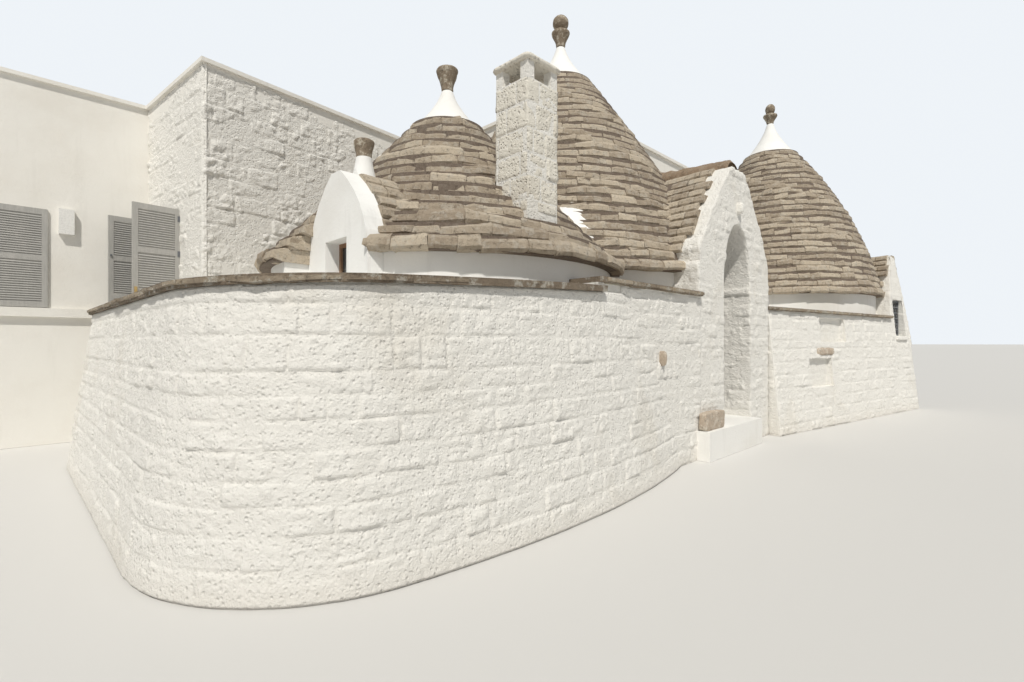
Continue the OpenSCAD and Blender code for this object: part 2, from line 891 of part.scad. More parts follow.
module dormer_front() {
    color(plaster) dormer_frame() translate([0, dormer_t, 0]) rotate([90, 0, 0])
        linear_extrude(dormer_t) difference() {
            polygon(both_sides(concat([[dormer_w / 2, deck_top]],
                gable_side(dormer_w, dormer_eave_h, dormer_top, dormer_curve, dormer_tip))));
            translate([-dormer_window_w / 2, dormer_window_z]) square([dormer_window_w, dormer_window_h]);
        }
}

// Bay that the dormer takes out of the drum and the lowest courses, and its passage inwards
module dormer_space() {
    dormer_frame() {
        translate([-dormer_w / 2 - seat, -far, deck_top - over])
            cube([dormer_w + 2 * seat, far + dormer_t + seat, dormer_top - deck_top + over]);
        translate([-dormer_window_w / 2, 0, dormer_window_z])
            cube([dormer_window_w, first_r, dormer_window_h]);
    }
}

module dormer_window() {
    color(wood) dormer_frame()
        translate([-dormer_window_w / 2, dormer_t - frame_t, dormer_window_z]) difference() {
            cube([dormer_window_w, frame_t, dormer_window_h]);
            for (s = [0, 1])
                translate([frame_bar + s * (dormer_window_w - frame_bar) / 2, -over, frame_bar])
                    cube([(dormer_window_w - 3 * frame_bar) / 2, frame_t / 2 + over,
                        dormer_window_h - 2 * frame_bar]);
        }
}

module dormer_roof() {
    color(stone) difference() {
        dormer_frame() translate([0, dormer_t + seat, 0])
            saddle(dormer_w, dormer_eave_h, dormer_top - dormer_reveal, first_r - dormer_t,
                dormer_roof_t, dormer_curve, dormer_tip);
        first_mass();
        translate([first_x, first_y, 0]) cylinder(h = first_eave, r = first_r);
    }
}

module dormer_pinnacle() {
    ridge_z = dormer_top - dormer_reveal;
    color(plaster) difference() {
        union() {
            dormer_frame() translate([0, pinnacle_in, ridge_z - pinnacle_r]) rotate_extrude()
                polygon(concat([[0, 0]], [for (i = [0 : cap_n]) let(t = i / cap_n)
                    [neck_r + (pinnacle_r - neck_r) * pow(1 - t, cap_curve),
                    (pinnacle_h + pinnacle_r) * t]], [[0, pinnacle_h + pinnacle_r]]));
            dormer_frame() translate([0, dormer_t + seat, ridge_z - pinnacle_r / 3]) rotate([-90, 0, 0])
                cylinder(h = first_r, r = pinnacle_r / 2);
        }
        dormer_frame() translate([0, dormer_t, 0]) rotate([90, 0, 0]) mirror([0, 0, 1])
            linear_extrude(first_r) polygon(both_sides(
                gable_side(dormer_w, dormer_eave_h, ridge_z + seat, dormer_curve, dormer_tip)));
        dormer_frame() translate([-dormer_w, -dormer_w, 0])
            cube([2 * dormer_w, dormer_w + dormer_t + seat, far]);
        first_mass();
        translate([first_x, first_y, 0]) cylinder(h = far, r = first_r / 2);
    }
}

module dormer_finial() {
    color(stone) dormer_frame()
        translate([0, pinnacle_in, dormer_top - dormer_reveal + pinnacle_h]) cup(small_cup_r, small_cup_h);
}

module chimney_stack() {
    color(lime) difference() {
        translate([chimney_x - chimney_w / 2, chimney_y - chimney_w / 2, first_eave])
            cube([chimney_w, chimney_w, chimney_h - first_eave]);
        for (a = [0, 90])
            translate([chimney_x, chimney_y, chimney_h - vent_h]) rotate([0, 0, a])
                translate([-chimney_w, -chimney_w / 2 + vent_post, 0])
                    cube([2 * chimney_w, chimney_w - 2 * vent_post, vent_h + over]);
        translate([chimney_x, chimney_y, chimney_h - flue_depth])
            translate([-chimney_w / 2 + vent_post, -chimney_w / 2 + vent_post, 0])
                cube([chimney_w - 2 * vent_post, chimney_w - 2 * vent_post, flue_depth + over]);
        first_mass();
    }
}

module chimney_cap() {
    side = chimney_w + 2 * cap_slab_out;
    color(lime) translate([chimney_x - side / 2, chimney_y - side / 2, chimney_h])
        cube([side, side, cap_slab_t]);
}

// One straight wall of the flat-roofed block, between two heights
module block_wall(i, z0 = 0, z1 = block_h - slab_t) {
    n = len(block_out);
    translate([0, 0, z0]) linear_extrude(z1 - z0)
        polygon([block_out[i], block_out[(i + 1) % n], block_in[(i + 1) % n], block_in[i]]);
}

// Ground that the flat-roofed block covers, kept free by the terrace
module block_footprint() {
    translate([0, 0, -over]) linear_extrude(far) polygon(inset(block_out, -seat));
}

// Frame of the tall block's left wall: X towards the viewer, Y into the building
module left_frame() {
    d = block_out[2] - block_out[1];
    translate([block_out[1][0], block_out[1][1], 0]) rotate([0, 0, atan2(d[1], d[0])]) children();
}

module wing_front_wall() {
    color(plaster) difference() {
        block_wall(0);
        translate([wing_window_x, wing_front - over, window_z])
            cube([window_w, block_t + 2 * over, window_h]);
    }
}

module tall_left_wall() {
    color(lime) difference() {
        block_wall(1);
        left_frame() translate([window_far, -over, door_z])
            cube([window_w, block_t + 2 * over, door_h]);
    }
}

module tall_front_wall() {
    color(lime) block_wall(2);
}

module block_side_wall() {
    color(plaster) block_wall(3);
}

module block_front_wall() {
    color(plaster) block_wall(4);
}

module block_right_wall() {
    color(plaster) block_wall(5);
}

module block_rear_wall() {
    color(plaster) block_wall(6);
}

module wing_left_wall() {
    color(plaster) block_wall(7);
}

module roof_slab() {
    color(plaster) translate([0, 0, block_h - slab_t]) linear_extrude(slab_t) polygon(block_out);
}

module roof_coping() {
    n = len(block_out);
    color(plaster) translate([0, 0, block_h]) linear_extrude(coping_t) difference() {
        polygon(inset(block_out, -coping_out));
        polygon(inset(block_out, coping_w - coping_out));
    }
}

module string_course() {
    color(plaster) translate([wing_left, wing_front - string_out, string_top - string_h])
        cube([block_out[1][0] - wing_left - string_out, string_out, string_h]);
}

module upper_floor() {
    color(plaster) translate([0, 0, floor_h - deck_t]) linear_extrude(deck_t)
        polygon(inset(block_out, block_t + seat));
}

// Height over its foot where a leaf's panel i starts
function panel_foot(panels, i) = i == 0 ? leaf_rail : panel_foot(panels, i - 1) + panels[i - 1] + leaf_rail;

// Shutter leaf, hinge at the origin, with sunk panels for the louvres between its rails
module leaf(h, panels) {
    difference() {
        cube([leaf_t, leaf_w, h]);
        for (i = [0 : len(panels) - 1], x = [-over, leaf_t - leaf_sink])
            translate([x, leaf_stile, panel_foot(panels, i)])
                cube([leaf_sink + over, leaf_w - 2 * leaf_stile, panels[i]]);
    }
}

module window_shutters() {
    color(paint) left_frame() for (x = [window_far - leaf_t - seat, window_far + window_w + seat])
        translate([x, -leaf_w - leaf_gap, door_z]) leaf(door_h, door_panels);
}

// The wing's two leaves, folded back flat against the wall
module wing_shutter() {
    color(paint) for (x = [wing_window_x - leaf_w - seat, wing_window_x + window_w + seat])
        translate([x, wing_front - leaf_gap, window_z]) rotate([0, 0, -90]) leaf(window_h, window_panels);
}

// Frames and glass of the two windows, set back in their reveals
module block_windows() {
    color(white) {
        translate([wing_window_x, wing_front + frame_in, window_z]) casement(window_h);
        left_frame() translate([window_far, frame_in, door_z]) casement(door_h);
    }
}

module casement(h) {
    difference() {
        cube([window_w, frame_t, h]);
        for (s = [0, 1])
            translate([frame_bar + s * (window_w - frame_bar) / 2, -over, frame_bar])
                cube([(window_w - 3 * frame_bar) / 2, frame_t / 2 + over, h - 2 * frame_bar]);
    }
}

module wall_lamp() {
    color(white) translate([lamp_x, wing_front - lamp_out, lamp_z]) cube([lamp_w, lamp_out, lamp_h]);
}

terrace_left_wall();
terrace_corner_wall();
terrace_front_wall();
terrace_rear_wall();
terrace_coping();
terrace_deck();
entrance_wall();
entrance_coping();
gable_left_pier();
gable_right_pier();
gable_head();
door_sill();
step_block();
face_stones();
entrance_roof();
entrance_roof_sides();
entrance_ridge();
right_wall();
right_coping();
window_gable();
window_grille();
window_sill();
end_roof();
end_wall();
yard_wall();
first_drum();
middle_drum();
right_drum();
first_cone();
middle_cone();
right_cone();
first_cap();
middle_cap();
right_cap();
first_finial();
middle_finial();
right_finial();
dormer_front();
dormer_window();
dormer_roof();
dormer_pinnacle();
dormer_finial();
chimney_stack();
chimney_cap();
tall_front_wall();
tall_left_wall();
block_front_wall();
block_side_wall();
block_right_wall();
block_rear_wall();
wing_front_wall();
wing_left_wall();
roof_slab();
roof_coping();
string_course();
upper_floor();
block_windows();
window_shutters();
wing_shutter();
wall_lamp();
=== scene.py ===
"""Dresses the stone house with its conical roofs: rubble walls, roof stones, joinery and finishes.

Every length is in metres, in the part's own frame: X along the front, Y into the building, Z up,
with the origin on the ground in the middle of the doorway's front face.
"""
import json
import logging
import math
from dataclasses import dataclass
from enum import Enum
from typing import Callable, Sequence

import bpy
import numpy as np
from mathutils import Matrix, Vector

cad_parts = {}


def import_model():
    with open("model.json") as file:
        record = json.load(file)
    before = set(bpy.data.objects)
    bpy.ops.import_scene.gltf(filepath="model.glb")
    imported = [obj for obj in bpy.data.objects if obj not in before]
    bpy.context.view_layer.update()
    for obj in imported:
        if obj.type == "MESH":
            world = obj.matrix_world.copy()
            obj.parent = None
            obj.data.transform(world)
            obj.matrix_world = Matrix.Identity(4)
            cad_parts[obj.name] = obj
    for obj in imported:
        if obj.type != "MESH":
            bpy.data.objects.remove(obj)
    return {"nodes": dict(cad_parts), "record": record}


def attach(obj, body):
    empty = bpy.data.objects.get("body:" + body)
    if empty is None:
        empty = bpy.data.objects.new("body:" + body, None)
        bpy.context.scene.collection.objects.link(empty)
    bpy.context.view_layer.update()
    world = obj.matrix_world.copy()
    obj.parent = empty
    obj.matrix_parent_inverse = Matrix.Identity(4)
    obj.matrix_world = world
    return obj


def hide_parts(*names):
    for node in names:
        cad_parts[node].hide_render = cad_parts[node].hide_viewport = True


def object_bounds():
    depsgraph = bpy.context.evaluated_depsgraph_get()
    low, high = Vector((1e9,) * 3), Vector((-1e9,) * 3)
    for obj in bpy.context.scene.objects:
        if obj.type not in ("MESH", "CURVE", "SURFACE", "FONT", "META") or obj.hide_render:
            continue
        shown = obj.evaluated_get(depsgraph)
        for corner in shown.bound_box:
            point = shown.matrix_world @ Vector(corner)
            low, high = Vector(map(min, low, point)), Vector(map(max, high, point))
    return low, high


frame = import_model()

CAD_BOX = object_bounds()
LOG = logging.getLogger("stone_house")
Array = np.ndarray
Colour = tuple[float, float, float]
Sockets = dict[str, object]
Placing = Callable[[Array, Array, Array], Array]
LocalFrame = Callable[[Array], Array]


# Numbers out of noise

def lattice(cell: Array, seed: float) -> Array:
    """Random values 0 to 1 at whole-numbered cells.

    Formula: the fractional part of a large multiple of the sine of a weighted sum of the cell's
    three numbers and the seed.

    Args:
        cell: Whole numbers, shape (..., 3).
        seed: Any number; another seed gives other values.

    Returns:
        Values of shape (...).
    """
    mixed = cell[..., 0] * 127.1 + cell[..., 1] * 311.7 + cell[..., 2] * 74.7 + seed * 53.3
    return np.modf(np.abs(np.sin(mixed) * 43758.5453))[0]


def noise(points: Array, scale: float, seed: float = 0.0) -> Array:
    """Smooth noise from -1 to 1.

    Formula: the eight lattice values round a point, blended by the smoothstep of its place
    between them.

    Args:
        points: Places, shape (..., 3).
        scale: Cells per metre.
        seed: Chooses another pattern.

    Returns:
        Values of shape (...).
    """
    scaled = points * scale
    cell = np.floor(scaled)
    part = scaled - cell
    part = part * part * (3 - 2 * part)
    total = np.zeros(points.shape[:-1])
    for corner in np.ndindex(2, 2, 2):
        weight = np.prod(np.where(np.array(corner) == 1, part, 1 - part), axis=-1)
        total += weight * lattice(cell + np.array(corner), seed)
    return 2 * total - 1


def rough(points: Array, scale: float, octaves: int = 3, seed: float = 0.0) -> Array:
    """Rough noise: octaves of smooth noise, each twice as fine and a little over half as high.

    Args:
        points: Places, shape (..., 3).
        scale: Cells per metre of the coarsest octave.
        octaves: How many are added.
        seed: Chooses another pattern.

    Returns:
        Values of shape (...), mostly between -1 and 1.
    """
    return sum(0.55 ** k * noise(points, scale * 2 ** k, seed + 7 * k) for k in range(octaves)) / 1.6


# Meshes out of arrays

def grid_quads(rows: int, columns: int, closed: bool = False) -> Array:
    """Quads of a grid whose points are numbered row by row.

    Args:
        rows: Points along the first parameter.
        columns: Points along the second parameter.
        closed: Whether the last row joins the first.

    Returns:
        Point numbers, shape (quads, 4), facing the first direction crossed with the second.
    """
    i, j = np.meshgrid(np.arange(rows if closed else rows - 1), np.arange(columns - 1), indexing="ij")
    here, there = i * columns + j, (i + 1) % rows * columns + j
    return np.stack([here, there, there + 1, here + 1], axis=-1).reshape(-1, 4)


def add_piece(name: str, points: Array, quads: Array, finish: bpy.types.Material,
              smooth: bool = True, tone: Array | None = None, hides: Sequence[str] = ()) -> bpy.types.Object:
    """Puts arrays into a mesh and its object into the scene, riding on the house's one body.

    Points that the roughness moves out of the CAD box are brought back to its sides.

    Args:
        name: Name of the piece.
        points: Its points, shape (..., 3).
        quads: Its faces, shape (faces, 4).
        finish: Its material.
        smooth: Whether it is shaded smooth.
        tone: One random value a point, kept as an attribute that the material reads.
        hides: CAD nodes that the piece stands for.

    Returns:
        The new object.
    """
    points = points.reshape(-1, 3).clip(*CAD_BOX)
    mesh = bpy.data.meshes.new(name)
    mesh.from_pydata(points.tolist(), [], quads.tolist())
    mesh.polygons.foreach_set("use_smooth", np.full(len(quads), smooth))
    if tone is not None:
        attribute = mesh.attributes.new("tone", "FLOAT", "POINT")
        attribute.data.foreach_set("value", tone.ravel().astype(np.float32))
    mesh.materials.append(finish)
    mesh.update()
    piece = bpy.data.objects.new(name, mesh)
    bpy.context.scene.collection.objects.link(piece)
    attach(piece, "root")
    if hides:
        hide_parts(*hides)
    LOG.info("%s: %d points, %d faces", name, len(points), len(quads))
    return piece


def stone_template() -> tuple[Array, Array]:
    """One stone in its own terms: s across, t up, both -1 to 1, and d from 0 at the face to 1 behind.

    Formula: a grid of five by four points that falls back towards its edges, more at foot and head
    than at the sides, the same grid at full depth, and a band of quads between the two rings.

    Returns:
        Points of shape (40, 3) and quads of shape (38, 4).
    """
    across, up = (-1, -0.88, 0, 0.88, 1), (-1, -0.5, 0.45, 1)
    side_fall, bed_fall = 0.04, 0.19
    s, t = np.meshgrid(across, up, indexing="ij")
    at_side = ((np.abs(s) - 0.88) / 0.12).clip(0, 1)
    at_bed = ((np.abs(t) - 0.5) / 0.5).clip(0, 1)
    face = np.stack([s, t, side_fall * at_side + bed_fall * at_bed], axis=-1).reshape(-1, 3)
    back = np.stack([s, t, np.ones_like(s)], axis=-1).reshape(-1, 3)
    number = np.arange(s.size).reshape(s.shape)
    ring = np.concatenate([number[:, 0], number[-1, 1:], number[-2::-1, -1], number[0, -2:0:-1]])
    after = np.roll(ring, -1)
    band = np.stack([ring + s.size, after + s.size, after, ring], axis=-1)
    front = grid_quads(*s.shape)
    return np.concatenate([face, back]), np.concatenate([front, front[:, ::-1] + s.size, band])


STONE_POINTS, STONE_QUADS = stone_template()


def stones_mesh(place: Placing, count: int, seed: int, chip: float = 0.011) -> tuple[Array, Array, Array]:
    """Points, quads and tones of many stones at once.

    Formula: each template point goes through the place function, with its s and t first pulled in
    or out by a random share, and is then moved by noise of the chip's height in all directions.

    Args:
        place: Turns s, t and d of shape (count, 40) into places of shape (count, 40, 3).
        count: How many stones there are.
        seed: Chooses the random numbers.
        chip: Height of the unevenness.

    Returns:
        Points (count * 40, 3), quads and one tone for each point.
    """
    side_pull, bed_pull, chips_a_metre = (-0.03, 0.02), (-0.14, 0.08), 11
    size = len(STONE_POINTS)
    draw = np.random.default_rng(seed)
    s = STONE_POINTS[:, 0] * (1 + draw.uniform(*side_pull, (count, size)))
    t = STONE_POINTS[:, 1] * (1 + draw.uniform(*bed_pull, (count, size)))
    d = np.broadcast_to(STONE_POINTS[:, 2], (count, size))
    points = place(s, t, d)
    moved = np.stack([rough(points, chips_a_metre, 2, seed + axis) for axis in range(3)], axis=-1)
    quads = (STONE_QUADS[None] + size * np.arange(count)[:, None, None]).reshape(-1, 4)
    tone = np.repeat(draw.uniform(0, 1, count), size)
    return (points + chip * moved).reshape(-1, 3), quads, tone


CORNERS = np.array(list(np.ndindex(2, 2, 2)))
CORNER_QUADS = np.array([[0, 1, 3, 2], [4, 6, 7, 5], [0, 4, 5, 1], [2, 3, 7, 6], [0, 2, 6, 4], [1, 5, 7, 3]])


def add_bars(name: str, points: Array, finish: bpy.types.Material) -> None:
    """Many small six-sided bars in one piece.

    Args:
        name: Name of the piece.
        points: Eight corners a bar, in the order of CORNERS, shape (bars, 8, 3).
        finish: Material.
    """
    quads = CORNER_QUADS[None] + len(CORNERS) * np.arange(len(points))[:, None, None]
    add_piece(name, points, quads.reshape(-1, 4), finish, smooth=False)


def house_frame(x: Array, y: Array, z: Array) -> Array:
    """Places in the part's own frame, as they are."""
    return np.stack(np.broadcast_arrays(x, y, z), axis=-1)


# Finishes

class Shader:
    """A material's nodes, added one by one, with patterns laid out on the piece's own coordinates."""

    def __init__(self, name: str) -> None:
        """Starts a material with a Principled shader and a coordinate node.

        Args:
            name: Name of the material.
        """
        self.material = bpy.data.materials.new(name)
        self.material.use_nodes = True
        self.tree = self.material.node_tree
        self.surface = self.tree.nodes["Principled BSDF"]
        self.place = self.add("ShaderNodeTexCoord").outputs["Object"]

    def add(self, kind: str, inputs: Sockets | None = None, **settings: object) -> bpy.types.Node:
        """Adds a node.

        Args:
            kind: The node's type.
            inputs: Values or sockets for its inputs, by name.
            **settings: Attributes of the node.

        Returns:
            The new node.
        """
        node = self.tree.nodes.new(kind)
        for name, value in settings.items():
            setattr(node, name, value)
        for name, value in (inputs or {}).items():
            self.put(node.inputs[name], value)
        return node

    def put(self, socket: bpy.types.NodeSocket, value: object) -> None:
        """Links a socket to an input, or sets the input's value.

        Args:
            socket: The input.
            value: An output socket, or a value.
        """
        if isinstance(value, bpy.types.NodeSocket):
            self.tree.links.new(value, socket)
        else:
            socket.default_value = value

    def noise(self, scale: float, detail: float = 4, roughness: float = 0.55,
              stretch: Sequence[float] = (1, 1, 1)) -> bpy.types.NodeSocket:
        """Noise over the piece.

        Args:
            scale: Cells per metre.
            detail: Octaves.
            roughness: Height of each octave over the one before it.
            stretch: Scale along each axis.

        Returns:
            Socket with values from 0 to 1.
        """
        place = self.place
        if tuple(stretch) != (1, 1, 1):
            place = self.add("ShaderNodeMapping", {"Vector": place, "Scale": stretch}).outputs["Vector"]
        return self.add("ShaderNodeTexNoise", {"Vector": place, "Scale": scale, "Detail": detail,
                                               "Roughness": roughness}).outputs["Fac"]

    def cells(self, scale: float) -> bpy.types.NodeSocket:
        """Distance to the nearest of scattered points, so many per metre."""
        return self.add("ShaderNodeTexVoronoi", {"Vector": self.place, "Scale": scale},
                        feature="F1").outputs["Distance"]

    def band(self, value: bpy.types.NodeSocket, low: float, high: float) -> bpy.types.NodeSocket:
        """A share from 0 at low to 1 at high, eased at both ends."""
        return self.add("ShaderNodeMapRange", {"Value": value, "From Min": low, "From Max": high},
                        interpolation_type="SMOOTHSTEP").outputs["Result"]

    def sum(self, first: object, second: object, share: float = 1.0) -> bpy.types.NodeSocket:
        """The first value plus a share of the second.

        Args:
            first: Socket or number.
            second: Socket or number.
            share: What the second is multiplied by.

        Returns:
            Socket with the sum.
        """
        node = self.add("ShaderNodeMath", operation="MULTIPLY_ADD")
        for socket, value in zip(node.inputs, (second, share, first)):
            self.put(socket, value)
        return node.outputs[0]

    def times(self, first: object, second: object) -> bpy.types.NodeSocket:
        """The product of two values.

        Args:
            first: Socket or number.
            second: Socket or number.

        Returns:
            Socket with the product.
        """
        node = self.add("ShaderNodeMath", operation="MULTIPLY")
        self.put(node.inputs[0], first)
        self.put(node.inputs[1], second)
        return node.outputs[0]

    def mix(self, share: object, first: object, second: object) -> bpy.types.NodeSocket:
        """Two colours mixed by a share.

        Args:
            share: Share of the second colour, as a socket or number.
            first: Socket or three numbers.
            second: Socket or three numbers.

        Returns:
            Socket with the colour.
        """
        node = self.add("ShaderNodeMix", data_type="RGBA")
        for socket, value in ((node.inputs[0], share), (node.inputs[6], first), (node.inputs[7], second)):
            self.put(socket, (*value, 1.0) if isinstance(value, tuple) and len(value) == 3 else value)
        return node.outputs[2]

    def tone(self) -> bpy.types.NodeSocket:
        """The random value that each stone of a piece carries."""
        return self.add("ShaderNodeAttribute", attribute_name="tone").outputs["Fac"]

    def height(self) -> bpy.types.NodeSocket:
        """Height over the ground."""
        return self.add("ShaderNodeSeparateXYZ", {"Vector": self.place}).outputs["Z"]

    def done(self, colour: object, relief: bpy.types.NodeSocket, depth: float, roughness: object,
             **others: object) -> bpy.types.Material:
        """Joins colour, relief and gloss to the shader.

        Args:
            colour: Socket or three numbers.
            relief: Height pattern from 0 to 1.
            depth: Height in metres that 1 stands for.
            roughness: Socket or number.
            **others: Further inputs of the shader, with _ for a space.

        Returns:
            The material.
        """
        bump = self.add("ShaderNodeBump", {"Strength": 1.0, "Distance": depth, "Height": relief})
        self.put(self.surface.inputs["Base Color"], (*colour, 1.0) if isinstance(colour, tuple) else colour)
        self.put(self.surface.inputs["Normal"], bump.outputs["Normal"])
        self.put(self.surface.inputs["Roughness"], roughness)
        for name, value in others.items():
            self.put(self.surface.inputs[name.replace("_", " ")], value)
        return self.material


@dataclass(frozen=True)
class LimeWash:
    """Many coats of lime on hewn stone: warm white, chalky, stained in patches and near the ground, with
    painted shade in its pits.
    """

    name: str = "lime_wash"
    white: Colour = (0.87, 0.85, 0.80)
    worn: Colour = (0.70, 0.65, 0.56)
    stain: float = 0.35
    # Depth of the pits' relief, and strength of the painted shade in them.
    pitted: float = 1.0
    damp: Colour = (0.66, 0.60, 0.52)
    # Colour that the pits are darkened towards: painted shade.
    pit_shade: Colour = (0.58, 0.53, 0.45)
    depth: float = 0.027
    roughness: float = 0.88

    def build(self) -> bpy.types.Material:
        """Makes the material.

        Returns:
            The finished material.
        """
        make = Shader(self.name)
        large, fine, grain = make.noise(0.9, 6, 0.65), make.noise(15, 8, 0.7), make.noise(70, 4, 0.6)
        patches = make.times(make.band(large, 0.52, 0.72), self.stain)
        colour = make.mix(patches, self.white, self.worn)
        specks = make.times(make.band(fine, 0.60, 0.74), self.stain)
        colour = make.mix(specks, colour, tuple(0.86 * c for c in self.worn))
        pits = make.band(make.cells(26), 0.0, 0.42)
        foot = make.times(make.band(make.sum(make.height(), fine, 0.25), 0.42, 0.12), 0.22)
        colour = make.mix(foot, colour, self.damp)
        # Painted shade: the pits' colour is darkened towards the hollow tone, as shadow would fall in them.
        pit_shade_share = make.times(make.band(pits, 0.35, 0.0), 0.26 * self.pitted)
        colour = make.mix(pit_shade_share, colour, self.pit_shade)
        relief = make.sum(make.sum(fine, grain, 0.25), pits, 0.32 * self.pitted)
        return make.done(colour, relief, self.depth, self.roughness)


@dataclass(frozen=True)
class SplitStone:
    """Split limestone slabs left bare: each stone its own tone, grey and ochre lichen; a darker copy under
    the stones is painted shade in the joints.
    """

    name: str = "roof_stone"
    light: Colour = (0.57, 0.49, 0.38)
    dark: Colour = (0.34, 0.275, 0.205)
    lichen: Colour = (0.53, 0.49, 0.42)
    cover: float = 0.5
    depth: float = 0.030
    roughness: float = 0.92

    def build(self) -> bpy.types.Material:
        """Makes the material.

        Returns:
            The finished material.
        """
        make = Shader(self.name)
        large, fine, grain = make.noise(2.2, 5, 0.6), make.noise(16, 8, 0.7), make.noise(75, 4, 0.6)
        share = make.sum(make.times(make.tone(), 0.40), make.sum(large, fine, 1.1), 0.42)
        colour = make.mix(make.band(share, 0.34, 0.92), self.dark, self.light)
        spots = make.times(make.band(make.noise(9, 8, 0.75), 0.50, 0.60), self.cover)
        colour = make.mix(spots, colour, self.lichen)
        black = make.band(make.noise(21, 6, 0.75), 0.53, 0.66)
        colour = make.mix(make.times(black, 0.72), colour, tuple(0.42 * c for c in self.dark))
        relief = make.sum(fine, grain, 0.35)
        return make.done(colour, relief, self.depth, self.roughness)


@dataclass(frozen=True)
class SmoothPlaster:
    """Trowelled plaster with a lime coat: nearly even, with faint clouds and run marks."""

    name: str = "plaster"
    white: Colour = (0.86, 0.85, 0.82)
    cloud: Colour = (0.78, 0.76, 0.71)
    runs: float = 0.25
    depth: float = 0.004
    roughness: float = 0.8

    def build(self) -> bpy.types.Material:
        """Makes the material.

        Returns:
            The finished material.
        """
        make = Shader(self.name)
        large, fine = make.noise(0.7, 5, 0.6), make.noise(30, 6, 0.6)
        streaks = make.noise(5, 5, 0.6, (1, 1, 0.12))
        colour = make.mix(make.band(large, 0.40, 0.72), self.white, self.cloud)
        colour = make.mix(make.times(make.band(streaks, 0.56, 0.72), self.runs), colour,
                          tuple(0.8 * c for c in self.cloud))
        return make.done(colour, make.sum(fine, large, 2.0), self.depth, self.roughness)


@dataclass(frozen=True)
class Paint:
    """Brushed paint on wood or metal: faint strokes, dust and worn spots."""

    name: str
    colour: Colour
    worn: Colour
    gloss: float = 0.5
    metal: float = 0.0
    stretch: tuple[float, float, float] = (1, 1, 0.08)
    depth: float = 0.0012

    def build(self) -> bpy.types.Material:
        """Makes the material.

        Returns:
            The finished material.
        """
        make = Shader(self.name)
        strokes, dust = make.noise(60, 4, 0.6, self.stretch), make.noise(6, 6, 0.65)
        colour = make.mix(make.band(strokes, 0.35, 0.75), self.colour, tuple(0.86 * c for c in self.colour))
        colour = make.mix(make.times(make.band(dust, 0.52, 0.74), 0.6), colour, self.worn)
        rough_share = make.sum(1 - self.gloss, dust, 0.2)
        return make.done(colour, strokes, self.depth, rough_share, Metallic=self.metal)


@dataclass(frozen=True)
class WindowGlass:
    """Panes painted dark, as painted shade of the unlit room behind them, with a slight waviness."""

    name: str = "window_glass"
    dark: Colour = (0.025, 0.032, 0.036)
    pale: Colour = (0.06, 0.07, 0.075)
    depth: float = 0.002
    roughness: float = 0.06
    coat: float = 0.6

    def build(self) -> bpy.types.Material:
        """Makes the material.

        Returns:
            The finished material.
        """
        make = Shader(self.name)
        wave = make.noise(3, 2, 0.5)
        # Painted shade: the dark colour stands in for the unlit room behind the panes.
        colour = make.mix(wave, self.dark, self.pale)
        return make.done(colour, wave, self.depth, self.roughness, Coat_Weight=self.coat)


